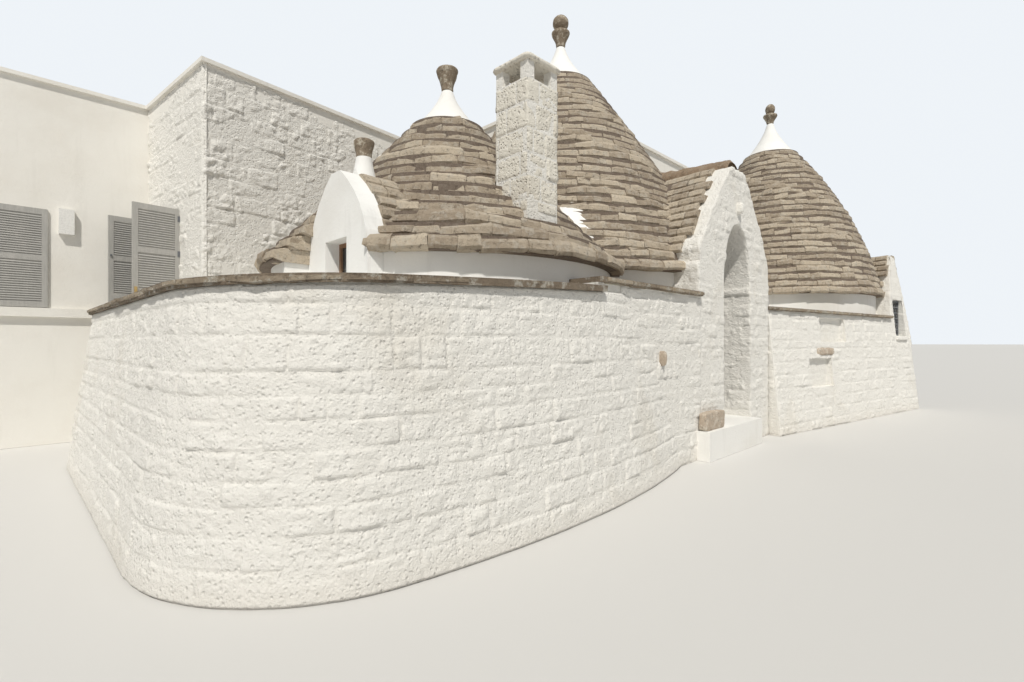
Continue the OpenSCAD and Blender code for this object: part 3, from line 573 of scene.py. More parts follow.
class Finishes:
    """All the finishes of the house, made once."""

    def __init__(self) -> None:
        """Builds each finish's material."""
        self.lime = LimeWash().build()
        # The chimney's lime: pits deeper in relief and darker with stronger painted shade.
        self.chimney = LimeWash("chimney_lime", (0.83, 0.79, 0.70), (0.55, 0.48, 0.38), 0.6, 2.2).build()
        self.roof = SplitStone().build()
        # The roof solids under the stones get a darker copy of the split stone: painted shade in the gaps
        # between the stones.
        self.painted_shade_roof_bed = SplitStone("painted_shade_roof_bed", (0.30, 0.25, 0.19), (0.17, 0.13, 0.10), cover=0.1).build()
        self.coping = SplitStone("coping_stone", (0.42, 0.35, 0.26), (0.20, 0.155, 0.11),
                                 (0.50, 0.48, 0.42), 0.7).build()
        self.ridge = SplitStone("ridge_mortar", (0.42, 0.31, 0.21), (0.25, 0.18, 0.12),
                                (0.45, 0.40, 0.32), 0.3, 0.02).build()
        self.carved = SplitStone("carved_stone", (0.46, 0.40, 0.31), (0.22, 0.17, 0.12),
                                 (0.62, 0.57, 0.47), 0.7, 0.008).build()
        self.brown = SplitStone("brown_stone", (0.66, 0.56, 0.45), (0.50, 0.41, 0.32),
                                (0.76, 0.71, 0.62), 0.6).build()
        self.white = SmoothPlaster("white_lime", (0.90, 0.90, 0.88), (0.82, 0.81, 0.78), 0.35).build()
        self.plaster = SmoothPlaster().build()
        self.block = SmoothPlaster("block_plaster", (0.86, 0.84, 0.79), (0.80, 0.77, 0.71), 0.15).build()
        self.block_edge = SmoothPlaster("block_coping", (0.87, 0.85, 0.80), (0.79, 0.76, 0.69),
                                        0.35).build()
        self.shutter = Paint("shutter_paint", (0.43, 0.42, 0.395), (0.52, 0.50, 0.47)).build()
        self.window = Paint("window_paint", (0.72, 0.72, 0.70), (0.60, 0.58, 0.54)).build()
        self.lamp = Paint("lamp_white", (0.84, 0.83, 0.80), (0.70, 0.68, 0.62), stretch=(1, 1, 1)).build()
        self.wood = Paint("brown_wood", (0.24, 0.13, 0.07), (0.38, 0.25, 0.16), 0.45).build()
        self.metal = Paint("grille_metal", (0.20, 0.21, 0.22), (0.34, 0.30, 0.26), 0.4, 0.6,
                           (1, 1, 1)).build()
        self.brass = Paint("bolt_brass", (0.55, 0.40, 0.18), (0.40, 0.28, 0.15), 0.5, 0.9,
                           (1, 1, 1)).build()
        self.glass = WindowGlass().build()

    def by_slot(self) -> dict[str, bpy.types.Material]:
        """The finishes of the solids that stay in view.

        Returns:
            The finish of each of the record's slots.
        """
        return {"limewash": self.lime, "chimney_lime": self.chimney, "coping_stone": self.coping,
                "roof_stone": self.painted_shade_roof_bed, "ridge_mortar": self.ridge, "finial_stone": self.carved,
                "brown_stone": self.brown, "white_lime": self.white, "plaster": self.plaster,
                "block_plaster": self.block, "block_coping": self.block_edge,
                "shutter_paint": self.shutter, "window_paint": self.window, "lamp_white": self.lamp,
                "brown_wood": self.wood, "grille_metal": self.metal}


def dress_solids(finishes: Finishes) -> None:
    """Gives every solid of the frame the finish of its slot.

    Args:
        finishes: The house's finishes.
    """
    table = finishes.by_slot()
    for part in frame["record"]["subparts"]:
        mesh = frame["nodes"][part["node"]].data
        mesh.materials.clear()
        mesh.materials.append(table[part["material_slot"]])


# Roofs of corbelled stone

def rows_of_stones(lengths: Sequence[float], stone: float, seed: int) -> tuple[Array, Array, Array]:
    """Splits rows into stones of uneven width.

    Formula: a row of length L has L / stone stones, whose shares of the row are one plus a random
    number up to 0.45 either way, scaled to fill it, with a random start.

    Args:
        lengths: Length of each row.
        stone: Mean width of a stone.
        seed: Chooses the random numbers.

    Returns:
        For each stone its row, the middle and the half width of its share, as shares of the row.
    """
    uneven, fewest = 0.45, 4
    draw = np.random.default_rng(seed)
    rows, middles, halves = [], [], []
    for row, length in enumerate(lengths):
        share = 1 + draw.uniform(-uneven, uneven, max(fewest, round(length / stone)))
        share /= share.sum()
        rows.append(np.full(len(share), row))
        middles.append(np.cumsum(share) - share / 2 + draw.uniform(0, 1))
        halves.append(share / 2)
    return np.concatenate(rows), np.concatenate(middles), np.concatenate(halves)


@dataclass(frozen=True)
class GableShape:
    """Outline of a gable whose flanks bend in towards its top."""

    width: float
    shoulder: float
    top: float
    curve: float = 1.25
    tip: float = 0.2

    def half_width(self, z: Array) -> Array:
        """Half the width at a height: w/2 (1 - (1 - tip) t^curve), t from shoulder to top, nothing above.

        Args:
            z: Heights.

        Returns:
            Half widths.
        """
        t = ((z - self.shoulder) / (self.top - self.shoulder)).clip(0, None)
        return np.where(t > 1, -1.0, self.width / 2 * (1 - (1 - self.tip) * t.clip(0, 1) ** self.curve))


ENTRANCE_GABLE = GableShape(2.64, 2.85, 4.27)
ENTRANCE_SADDLE = GableShape(2.76, 2.87, 4.30)
WINDOW_GABLE = GableShape(1.04, 2.18, 3.70)
WINDOW_SADDLE = GableShape(1.16, 2.56, 3.73)
DORMER_SHAPE = GableShape(1.34, 2.30, 3.40, 2.6, 0.15)


@dataclass(frozen=True)
class RightFrame:
    """The right wall's own frame: d along it, y into the building, turned towards the yard."""

    start: tuple[float, float] = (1.32, -0.2)
    turn: float = math.radians(10)
    lean: float = 0.10

    def world(self, d: Array, y: Array, z: Array) -> Array:
        """Places in the part's frame.

        Args:
            d: Distances along the wall.
            y: Distances into the building.
            z: Heights.

        Returns:
            Points of shape (..., 3).
        """
        c, s = math.cos(self.turn), math.sin(self.turn)
        d, y, z = np.broadcast_arrays(d, y, z)
        return np.stack([self.start[0] + d * c + y * s, self.start[1] - d * s + y * c, z], axis=-1)

    def face(self, d: Array, deep: Array, z: Array) -> Array:
        """Places on the leaning face, or so deep behind it."""
        return self.world(d, deep + self.lean * z, z)

    def local(self, x: Array, y: Array) -> tuple[Array, Array]:
        """Places of the plan in the wall's frame.

        Args:
            x: Places along the front.
            y: Places into the building.

        Returns:
            Distances along the wall and into the building.
        """
        c, s = math.cos(self.turn), math.sin(self.turn)
        dx, dy = x - self.start[0], y - self.start[1]
        return dx * c - dy * s, dx * s + dy * c


RIGHT = RightFrame()
WINDOW_D = 5.95


@dataclass(frozen=True)
class Cone:
    """A corbelled cone: rings of split stones, each set back a little from the one below."""

    name: str
    x: float
    y: float
    r: float
    r_top: float
    eave: float
    top: float
    courses: int
    belly: float
    stone: float = 0.34
    proud: float = 0.034
    eave_out: float = 0.035
    depth: float = 0.16
    joint: float = 0.997
    sag: tuple[float, float] = (-0.008, 0.004)
    fill: tuple[float, float] = (0.47, 0.54)
    tilt: float = 0.012
    waves: tuple[float, float] = (0.012, 0.008)
    set_back: float = 0.1
    chip: float = 0.016

    def radius(self, z: Array) -> Array:
        """Radius at a height: a line from eave to top, plus belly times 4 t (1 - t)."""
        t = ((z - self.eave) / (self.top - self.eave)).clip(0, 1)
        return self.r + (self.r_top - self.r) * t + self.belly * 4 * t * (1 - t)

    def inside(self, x: Array, y: Array, z: Array, deep: float) -> Array:
        """Whether places lie at least so deep in the cone."""
        return (np.hypot(x - self.x, y - self.y) < self.radius(z) - deep) & (z < self.top)

    def height(self, x: Array, y: Array) -> Array:
        """Height of the flank over places of the plan, from the table of radii read backwards."""
        z = np.linspace(self.eave, self.top, 200)
        return np.interp(-np.hypot(x - self.x, y - self.y), -self.radius(z), z)

    def build(self, finish: bpy.types.Material, seed: int, free: Placing) -> None:
        """Lays the rings.

        Formula of a stone's point: angle = middle + s half; height = foot + (t + 1)/2 rise, with a
        slow waviness round the ring; radius = the cone's at the ring's foot + a random projection
        - a lean of a fifth of the rise - d depth.

        Args:
            finish: The roof stones' finish.
            seed: Chooses the random numbers.
            free: Says which stones' centres are clear of what meets the cone.
        """
        rise = (self.top - self.eave) / self.courses
        foot = self.eave + rise * np.arange(self.courses)
        ring = self.radius(foot)
        row, middle, half = rows_of_stones(2 * math.pi * ring, self.stone, seed)
        angle, half = middle * 2 * math.pi, half * 2 * math.pi
        x, y = self.x + ring[row] * np.cos(angle), self.y + ring[row] * np.sin(angle)
        keep = free(x, y, foot[row] + rise / 2)
        row, angle, half = row[keep], angle[keep, None], half[keep, None]
        draw = np.random.default_rng(seed + 1)
        each = (len(row), 1)
        out = self.proud * draw.uniform(0.3, 1.0, each) + np.where(row == 0, self.eave_out, 0)[:, None]
        low = draw.uniform(*self.sag, each)
        tall = rise * draw.uniform(*self.fill, each)
        tilt = draw.uniform(-self.tilt, self.tilt, each)

        def place(s: Array, t: Array, d: Array) -> Array:
            """A stone's points on its ring.

            Args:
                s: Places across the stone, -1 to 1.
                t: Places up the stone, -1 to 1.
                d: Depths behind its face, 0 to 1.

            Returns:
                Points of shape (..., 3).
            """
            a = angle + s * half * self.joint
            slow, quick = self.waves
            wave = slow * np.sin(3 * a + row[:, None]) + quick * np.sin(7 * a + 2 * row[:, None])
            z = foot[row, None] + low + rise / 2 + t * tall + wave + tilt * s
            r = ring[row, None] + out - self.set_back * rise * (t + 1) - d * self.depth
            return np.stack([self.x + r * np.cos(a), self.y + r * np.sin(a), z], axis=-1)

        points, quads, tone = stones_mesh(place, len(row), seed + 2, self.chip)
        add_piece(f"{self.name}_stones", points, quads, finish, smooth=False, tone=tone)


FIRST = Cone("first_cone", -3.62, 2.65, 2.40, 0.42, 2.50, 4.60, 14, -0.060)
MIDDLE = Cone("middle_cone", -0.62, 3.05, 2.90, 0.50, 2.60, 6.44, 27, 0.105)
RIGHTMOST = Cone("right_cone", 6.35, 1.62, 2.42, 0.56, 2.70, 6.51, 25, 0.280)


@dataclass(frozen=True)
class SaddleRoof:
    """The stones of a saddle roof's two flanks, from behind a gable into a cone."""

    name: str
    shape: GableShape
    courses: int
    start: float
    length: float
    seed: int
    world: Placing
    cone: Cone
    stone: float = 0.27
    proud: float = 0.028
    depth: float = 0.16
    joint: float = 0.97
    fill: tuple[float, float] = (0.45, 0.53)
    wave: float = 0.008
    follow: float = 0.6
    chip: float = 0.009

    def build(self, finish: bpy.types.Material) -> None:
        """Lays the stones.

        Formula of a stone's point: across = side (half width at its height + projection - d depth);
        along = start + (middle + s half) length; height = foot + (t + 1)/2 rise.

        Args:
            finish: The roof stones' finish.
        """
        shape = self.shape
        rise = (shape.top - shape.shoulder) / self.courses
        row, middle, half = rows_of_stones([self.length] * (2 * self.courses), self.stone, self.seed)
        middle = middle % 1.0
        foot = shape.shoulder + rise * (row % self.courses)
        side = np.where(row < self.courses, 1.0, -1.0)
        centre = self.world(side * shape.half_width(foot), self.start + middle * self.length, foot)
        keep = ~self.cone.inside(centre[:, 0], centre[:, 1], centre[:, 2] + rise / 2, 0.05)
        middle, half, foot, side = (v[keep, None] for v in (middle, half, foot, side))
        draw = np.random.default_rng(self.seed + 1)
        out = self.proud * draw.uniform(0.3, 1, foot.shape)
        tall = rise * draw.uniform(*self.fill, foot.shape)

        def place(s: Array, t: Array, d: Array) -> Array:
            """A stone's points on its flank; along runs backwards on the left, so that faces look out.

            Args:
                s: Places across the stone, -1 to 1.
                t: Places up the stone, -1 to 1.
                d: Depths behind its face, 0 to 1.

            Returns:
                Points of shape (..., 3).
            """
            share = (middle + side * s * half * self.joint) * self.length
            along = self.start + share.clip(0.01, self.length)
            z = foot + rise / 2 + t * tall + self.wave * np.sin(5 * along)
            low = shape.half_width(foot)
            high = shape.half_width((foot + rise).clip(None, shape.top - 0.001))
            across = low + (high - low) * self.follow * (t + 1) / 2 + out - d * self.depth
            return self.world(side * across, along, z)

        points, quads, tone = stones_mesh(place, len(foot), self.seed + 2, self.chip)
        add_piece(self.name, points, quads, finish, smooth=False, tone=tone)


@dataclass(frozen=True)
class Roofs:
    """The three cones, the three small saddle roofs, the dormer's edges and the ridge."""

    finishes: Finishes
    dormer_axis: float = 1.98
    dormer_front: float = -5.62
    dormer_back: float = -5.2
    dormer_top: float = 3.35
    dormer_courses: int = 6
    edge_reach: tuple[float, float] = (0.10, 0.16)
    edge_out: tuple[float, float] = (0.02, 0.05)
    edge_depth: float = 0.55
    stack_x: float = -3.79
    stack_y: float = 0.94
    stack_half: float = 0.22
    block_x: float = -1.48
    block_y: float = 2.54
    block_top: float = 5.70
    gable_depth: float = 0.52
    entrance_depth: float = 3
    window_depth: float = 2.2
    ridge_start: float = 0.07
    ridge_end: float = 2.0
    ridge_height: float = 4.26
    ridge_half: tuple[float, float] = (0.24, 0.03)
    ridge_thick: tuple[float, float] = (0.19, 0.065)
    ridge_rough: float = 0.045

    def first_free(self, x: Array, y: Array, z: Array) -> Array:
        """Stones of the first cone that no dormer, chimney or middle cone takes the place of.

        Args:
            x: Centres along the front.
            y: Centres into the building.
            z: Their heights.

        Returns:
            True for each stone that is laid.
        """
        reach = DORMER_SHAPE.half_width(z) + 0.05
        dormer = (np.abs(y - self.dormer_axis) < reach) & (x < self.dormer_back) & (z < self.dormer_top)
        stack = (np.abs(x - self.stack_x) < self.stack_half) & (np.abs(y - self.stack_y) < self.stack_half)
        return ~(dormer | stack | MIDDLE.inside(x, y, z, 0.12))

    def middle_free(self, x: Array, y: Array, z: Array) -> Array:
        """Stones of the middle cone outside the flat-roofed block, the gable and the saddle roof.

        Args:
            x: Centres along the front.
            y: Centres into the building.
            z: Their heights.

        Returns:
            True for each stone that is laid.
        """
        block = (x > self.block_x) & (y > self.block_y) & (z < self.block_top)
        gable = (np.abs(x) < ENTRANCE_GABLE.half_width(z)) & (y < self.gable_depth)
        saddle = (np.abs(x) < ENTRANCE_SADDLE.half_width(z) - 0.12) & (y < self.entrance_depth)
        return ~(block | gable | saddle | FIRST.inside(x, y, z, 0.25))

    def right_free(self, x: Array, y: Array, z: Array) -> Array:
        """Stones of the right cone outside the window gable and its saddle roof.

        Args:
            x: Centres along the front.
            y: Centres into the building.
            z: Their heights.

        Returns:
            True for each stone that is laid.
        """
        d, inwards = RIGHT.local(x, y)
        aside = np.abs(d - WINDOW_D)
        gable = (aside < WINDOW_GABLE.half_width(z)) & (inwards < self.gable_depth)
        saddle = (aside < WINDOW_SADDLE.half_width(z) - 0.10) & (inwards < self.window_depth)
        return ~(gable | saddle)

    def window_frame(self, across: Array, along: Array, z: Array) -> Array:
        """Places of the end roof, whose axis is the window gable's."""
        return RIGHT.world(WINDOW_D + across, along, z)

    def dormer_frame(self, across: Array, along: Array, z: Array) -> Array:
        """Places of the dormer's roof, which runs along the house's X."""
        return house_frame(along + self.dormer_front, self.dormer_axis - across, z)

    def build(self) -> None:
        """Builds all the roofs' stones."""
        stone = self.finishes.roof
        FIRST.build(stone, 11, self.first_free)
        MIDDLE.build(stone, 21, self.middle_free)
        RIGHTMOST.build(stone, 31, self.right_free)
        SaddleRoof("entrance_roof_stones", ENTRANCE_SADDLE, 11, 0.15, 2.16, 41, house_frame,
                   MIDDLE).build(stone)
        SaddleRoof("end_roof_stones", WINDOW_SADDLE, 9, 0.36, 1.5, 51, self.window_frame,
                   RIGHTMOST).build(stone)
        SaddleRoof("dormer_roof_stones", DORMER_SHAPE, 8, 0.20, 1.3, 57, self.dormer_frame,
                   FIRST).build(stone)
        self.dormer_edges()
        self.ridge()

    def dormer_edges(self) -> None:
        """Deep stones of the first cone on both sides of the dormer, whose ends show.

        Formula of a stone's point: y = the dormer's flank at the course's height + (s + 1) half width,
        away from the dormer; radius = the course's - d depth; height = foot + (t + 1)/2 rise.
        """
        rise = (FIRST.top - FIRST.eave) / FIRST.courses
        course = np.repeat(np.arange(self.dormer_courses), 2)[:, None]
        side = np.tile([1.0, -1.0], self.dormer_courses)[:, None]
        foot = FIRST.eave + rise * course
        draw = np.random.default_rng(81)
        wide, out = draw.uniform(*self.edge_reach, foot.shape), draw.uniform(*self.edge_out, foot.shape)
        tall = rise * draw.uniform(0.46, 0.53, foot.shape)
        inner = DORMER_SHAPE.half_width(foot + rise / 2) - 0.02

        def place(s: Array, t: Array, d: Array) -> Array:
            """A stone's points beside the dormer; s runs so that its face looks out.

            Args:
                s: Places across the stone, -1 to 1.
                t: Places up the stone, -1 to 1.
                d: Depths behind its face, 0 to 1.

            Returns:
                Points of shape (..., 3).
            """
            y = self.dormer_axis + side * (inner + (1 - side * s) * wide)
            z = foot + rise / 2 + t * tall
            r = FIRST.radius(foot) + out - FIRST.set_back * rise * (t + 1) - d * self.edge_depth
            x = FIRST.x - np.sqrt((r ** 2 - (y - FIRST.y) ** 2).clip(0.01, None))
            return np.stack([x, y, z], axis=-1)

        points, quads, tone = stones_mesh(place, len(foot), 82, 0.014)
        add_piece("dormer_edge_stones", points, quads, self.finishes.roof, smooth=False,
                  tone=tone)

    def ridge(self) -> None:
        """The rough mortar along the top of the entrance roof.

        Formula: a half ellipse and its skirt, carried backwards from the gable into the middle cone,
        with its radius growing backwards and changed by rough noise.
        """
        skirt = 0.35
        along = np.linspace(self.ridge_start, self.ridge_end, 70)
        angle = np.linspace(-skirt, math.pi + skirt, 30)
        y, a = np.meshgrid(along, angle, indexing="ij")
        half, thick = (size[0] + size[1] * y for size in (self.ridge_half, self.ridge_thick))
        points = np.stack([half * np.cos(a), y, self.ridge_height + thick * np.sin(a)], axis=-1)
        skin("entrance_ridge_mortar", points[::-1, ::-1],
             self.ridge_rough * rough(points, 6, 3, 8)[::-1, ::-1], self.finishes.ridge)


# Rubble walls under lime

def normals(points: Array, closed: bool = False) -> Array:
    """Outward directions of a grid of points: the first parameter's change crossed with the second's.

    Args:
        points: Grid of shape (rows, columns, 3).
        closed: Whether the last row joins the first.

    Returns:
        Unit vectors of the same shape.
    """
    if closed:
        return normals(np.concatenate([points[-2:], points, points[:2]]))[2:-2]
    out = np.cross(np.gradient(points, axis=0), np.gradient(points, axis=1))
    return out / np.maximum(np.linalg.norm(out, axis=-1, keepdims=True), 1e-9)


def stations(low: float, high: float, step: float, marks: Sequence[float] = ()) -> Array:
    """Even places from low to high, with a close pair at each mark so that an edge there stays crisp.

    Args:
        low: First place.
        high: Last place.
        step: Largest distance between two.
        marks: Places of edges.

    Returns:
        Rising places.
    """
    apart = 0.004
    even = np.linspace(low, high, max(2, round((high - low) / step) + 1))
    pairs = [mark + offset for mark in marks for offset in (-apart, apart)]
    return np.unique(np.concatenate([even, pairs])) if pairs else even


@dataclass(frozen=True)
class Rubble:
    """Relief of hewn blocks in uneven courses, their joints filled and softened by lime."""

    low: float = 0.15
    high: float = 0.24
    block: float = 0.42
    groove: float = 0.013
    soft: float = 0.013
    swell: float = 0.007
    hewn: float = 0.020
    wander: float = 0.016
    seed: int = 0
    widths: tuple[float, float] = (0.45, 1.6)
    tilt_across: float = 0.05
    tilt_up: float = 0.06

    def relief(self, along: Array, height: Array, points: Array) -> Array:
        """Height of the relief at places of a wall.

        Formula: groove times (e - 1) + (own swell + own tilt) times e + ridged and fine noise by the
        block's own share, where e rises from 0 at a joint to 1 as 1 - exp(-(d / soft)^2), and d is the
        distance to the nearest joint of the place's course, with the place first moved by slow noise.

        Args:
            along: Distance along the wall.
            height: Height over the ground.
            points: The places themselves, for the noise.

        Returns:
            Heights in metres.
        """
        draw = np.random.default_rng(self.seed)
        z = height + self.wander * rough(points, 1.6, 2, self.seed + 1)
        u = along + self.wander * rough(points, 2.5, 2, self.seed + 2)
        beds = np.cumsum(draw.uniform(self.low, self.high, 60)) - self.high
        course = (np.searchsorted(beds, z) - 1).clip(0, len(beds) - 2)
        below, above = z - beds[course], beds[course + 1] - z
        side, centre, number = np.zeros_like(z), np.zeros_like(z), np.zeros_like(z)
        blocks = int((np.ptp(u) + 2) / self.block / 0.9) + 4
        for k in np.unique(course):
            here = course == k
            joints = u.min() - self.block + np.cumsum(draw.uniform(*self.widths, blocks) * self.block)
            at = np.searchsorted(joints, u[here]).clip(1, len(joints) - 1)
            left, right = u[here] - joints[at - 1], joints[at] - u[here]
            side[here] = np.minimum(np.abs(left), np.abs(right))
            centre[here] = (left - right) / 2
            number[here] = at + 71 * k
        near = np.minimum(np.minimum(below, above), side)
        edge = 1 - np.exp(-(near / self.soft) ** 2)
        own = np.stack([number, course, np.full_like(number, self.seed)], axis=-1)
        swell = (2 * lattice(own, 3) - 1) * self.swell
        across = (2 * lattice(own, 4) - 1) * self.tilt_across * centre
        tilt = across + (2 * lattice(own, 5) - 1) * self.tilt_up * (below - above) / 2
        facets = np.abs(rough(points * [1, 1, 1.3], 7, 3, self.seed + 3))
        chips = rough(points, 22, 2, self.seed + 4)
        flatter = 0.35 + 0.65 * lattice(own, 6)
        cut = self.hewn * (1.4 * facets - 0.45 + 0.50 * chips) * flatter * (0.3 + 0.7 * edge)
        return self.groove * (edge - 1) + (swell + tilt) * edge + cut


SINK = 0.03


def skin(name: str, points: Array, lift: Array, finish: bpy.types.Material,
         hole: Array | None = None, closed: bool = False) -> None:
    """A wall's rough face, lifted off a grid along its normals, with its rim sunk into the wall.

    Args:
        name: Name of the piece.
        points: Grid of shape (rows, columns, 3) on the wall's even face.
        lift: Distance off that face for each point.
        finish: Material.
        hole: True where a quad is left out, shape (rows - 1, columns - 1).
        closed: Whether the last row joins the first.
    """
    lift = lift.copy()
    lift[:, 0] = lift[:, -1] = -SINK
    if not closed:
        lift[0] = lift[-1] = -SINK
    quads = grid_quads(points.shape[0], points.shape[1], closed)
    if hole is not None:
        quads = quads[~hole.ravel()]
    add_piece(name, points + normals(points, closed) * lift[..., None], quads, finish)


@dataclass(frozen=True)
class TerracePath:
    """Foot of the rounded terrace wall: rear curve, straight left side, tight corner, long front curve."""

    corner: tuple[float, float] = (-6.02, 1.2113)
    rear: float = 5.3
    corner_r: float = 1.5
    front: tuple[float, float] = (-4.72, 10.42)
    front_r: float = 10.8
    meet: float = math.radians(8.035)
    end: float = math.radians(15.6)
    batter: float = 0.13
    low: float = 1.96
    rise: float = 0.045
    left: float = -7.52
    side: float = -7.2
    side_in: float = 0.25

    def lengths(self) -> list[float]:
        """Where each of the four stretches ends, along the foot."""
        each = (self.corner_r * math.pi / 2, self.rear - self.corner[1],
                self.corner_r * (math.pi / 2 - self.meet), self.front_r * (self.meet + self.end))
        return list(np.cumsum(each))

    def at(self, u: Array) -> tuple[Array, Array, Array]:
        """Centre, direction and radius of the curve at distances along the foot.

        Args:
            u: Distances from the rear curve's start.

        Returns:
            Centres (..., 2), unit vectors outwards (..., 2) and radii (...).
        """
        l1, l2, l3, _ = self.lengths()
        case = [u < l1, u < l2, u < l3]
        turns = [math.pi / 2 + u / self.corner_r, np.full_like(u, math.pi),
                 math.pi + (u - l2) / self.corner_r]
        a = np.select(case, turns, 1.5 * math.pi - self.meet + (u - l3) / self.front_r)
        x = np.where(u < l3, self.corner[0], self.front[0])
        centres = [np.full_like(u, self.rear), self.rear - (u - l1), np.full_like(u, self.corner[1])]
        y = np.select(case, centres, self.front[1])
        r = np.where(u < l3, self.corner_r, self.front_r)
        return np.stack([x, y], axis=-1), np.stack([np.cos(a), np.sin(a)], axis=-1), r

    def top(self, u: Array) -> Array:
        """Height of the wall's sloping top, read a little farther in at the side.

        Args:
            u: Distances from the rear curve's start.

        Returns:
            Heights.
        """
        x = self.place(u, np.zeros_like(u), np.zeros_like(u))[..., 0]
        return self.low + self.rise * (x + self.side_in * (x < self.side) - self.left)

    def place(self, u: Array, z: Array, out: Array) -> Array:
        """Points on the battered face or off it: centre + (r - batter z + out) direction.

        Args:
            u: Distances from the rear curve's start.
            z: Heights.
            out: Distances off the face, outwards.

        Returns:
            Points of shape (..., 3).
        """
        centre, way, r = self.at(u)
        flat = centre + way * (r - self.batter * z + out)[..., None]
        return np.concatenate([flat, z[..., None]], axis=-1)


PATH = TerracePath()
WALL_STEP = 0.020


@dataclass(frozen=True)
class TerraceWall:
    """The rounded wall's face in two pieces: rear and side, corner and front."""

    finish: bpy.types.Material
    rubble: Rubble = Rubble(seed=5)
    start: float = 0.15
    before_corner: float = 1.2
    overlap: float = 0.04
    front_step: float = 0.0145
    rows_height: float = 2.2
    over_top: float = 0.004
    off: float = 0.010
    strip_off: float = 0.012
    strip_flat: float = 0.75
    foot_strip: tuple[float, float] = (0.10, 0.05)
    top_strip: tuple[float, float] = (0.09, 0.03)

    def face(self, name: str, low: float, high: float, step: float) -> None:
        """One piece of the face.

        Formula: a grid of distances along the foot and shares of the height, lifted by the rubble's
        relief, which flattens to an even band of lime along the foot and under the coping.

        Args:
            name: Name of the piece.
            low: Where it starts along the foot.
            high: Where it ends.
            step: Distance between the grid's points.
        """
        u = stations(low, high, step)
        share = np.linspace(0, 1, round(self.rows_height / step))
        top = PATH.top(u) + self.over_top
        z = top[:, None] * share[None]
        wide = np.broadcast_to(u[:, None], z.shape)
        points = PATH.place(wide, z, np.zeros_like(z))
        lift = self.off + self.rubble.relief(wide, z, points)
        foot, foot_ease = self.foot_strip
        head, head_ease = self.top_strip
        at_foot = 1 - ((z - foot) / foot_ease).clip(0, 1)
        at_head = 1 - ((top[:, None] - z - head) / head_ease).clip(0, 1)
        strip = np.maximum(at_foot, at_head)
        lift = lift * (1 - self.strip_flat * strip) + self.strip_off * strip
        skin(name, points, lift, self.finish)

    def build(self) -> None:
        """Builds both pieces."""
        _, side_end, _, front_end = PATH.lengths()
        split = side_end - self.before_corner
        self.face("terrace_side_face", self.start, split, WALL_STEP)
        self.face("terrace_front_face", split - self.overlap, front_end, self.front_step)


@dataclass(frozen=True)
class FlatFace:
    """A straight wall's rough face, with its openings left out and its niches sunk."""

    name: str
    low: float
    high: float
    top: float
    world: Placing
    rubble: Rubble
    lean: float = 0.0
    foot: float = 0.0
    holes: Sequence[tuple[float, float, float, float]] = ()
    niches: Sequence[tuple[float, float, float, float, float]] = ()
    step: float = WALL_STEP
    off: float = 0.008
    niche_off: float = 0.004
    niche_share: float = 0.25
    rim: float = 0.006

    def build(self, finish: bpy.types.Material) -> None:
        """Makes the piece.

        Formula: a grid of distances along the wall and heights, lifted by the rubble's relief; in a
        niche most of the relief goes and the face lies at the niche's depth.

        Args:
            finish: The lime's finish.
        """
        marks_u = [edge for hole in (*self.holes, *self.niches) for edge in (hole[0], hole[2])]
        marks_z = [edge for hole in (*self.holes, *self.niches) for edge in (hole[1], hole[3])]
        u, z = np.meshgrid(stations(self.low, self.high, self.step, marks_u),
                           stations(self.foot, self.top, self.step, marks_z), indexing="ij")
        points = self.world(u, self.lean * z, z)
        lift = self.off + self.rubble.relief(u, z, points)
        for left, base, right, head, deep in self.niches:
            within = (u > left) & (u < right) & (z > base) & (z < head)
            front = self.lean * base + deep - self.lean * z
            lift = np.where(within, self.niche_off + self.niche_share * lift - front, lift)
        hole = np.zeros((u.shape[0] - 1, u.shape[1] - 1), bool)
        mu, mz = (u[1:, 1:] + u[:-1, 1:]) / 2, (z[1:, 1:] + z[1:, :-1]) / 2
        for left, base, right, head in self.holes:
            beside = (u > left - self.rim) & (u < right + self.rim)
            level = (z > base - self.rim) & (z < head + self.rim)
            lift = np.where(beside & level, -SINK, lift)
            hole |= (mu > left) & (mu < right) & (mz > base) & (mz < head)
        skin(self.name, points, lift, finish, hole)


@dataclass(frozen=True)
class StraightWalls:
    """The entrance wall and the right wall with its two niches and its end beside the doorway."""

    finish: bpy.types.Material
    entrance: tuple[float, float, float] = (-3.30, -1.30, 2.238)
    right: tuple[float, float, float] = (0.035, 5.45, 2.178)
    niches: tuple[tuple[float, float, float, float, float], ...] = (
        (1.85, 1.62, 2.95, 2.10, 0.13), (1.30, 0.76, 2.20, 1.30, 0.13))
    end_depth: float = 0.30

    def build(self) -> None:
        """Builds the three faces.

        Formula of the end: a grid of depths and heights square to the right wall, with half the relief.
        """
        FlatFace("entrance_wall_face", *self.entrance, house_frame, Rubble(seed=7)).build(self.finish)
        FlatFace("right_wall_face", *self.right, RIGHT.world, Rubble(seed=9), RIGHT.lean,
                 niches=self.niches).build(self.finish)
        depth, z = np.meshgrid(np.linspace(self.end_depth, -0.004, 18), np.linspace(0, self.right[2], 110),
                               indexing="ij")
        points = RIGHT.face(0.0 * z, depth, z)
        lift = 0.004 + 0.5 * Rubble(seed=29).relief(depth + 2, z, points)
        skin("right_wall_end_face", points, lift, self.finish)


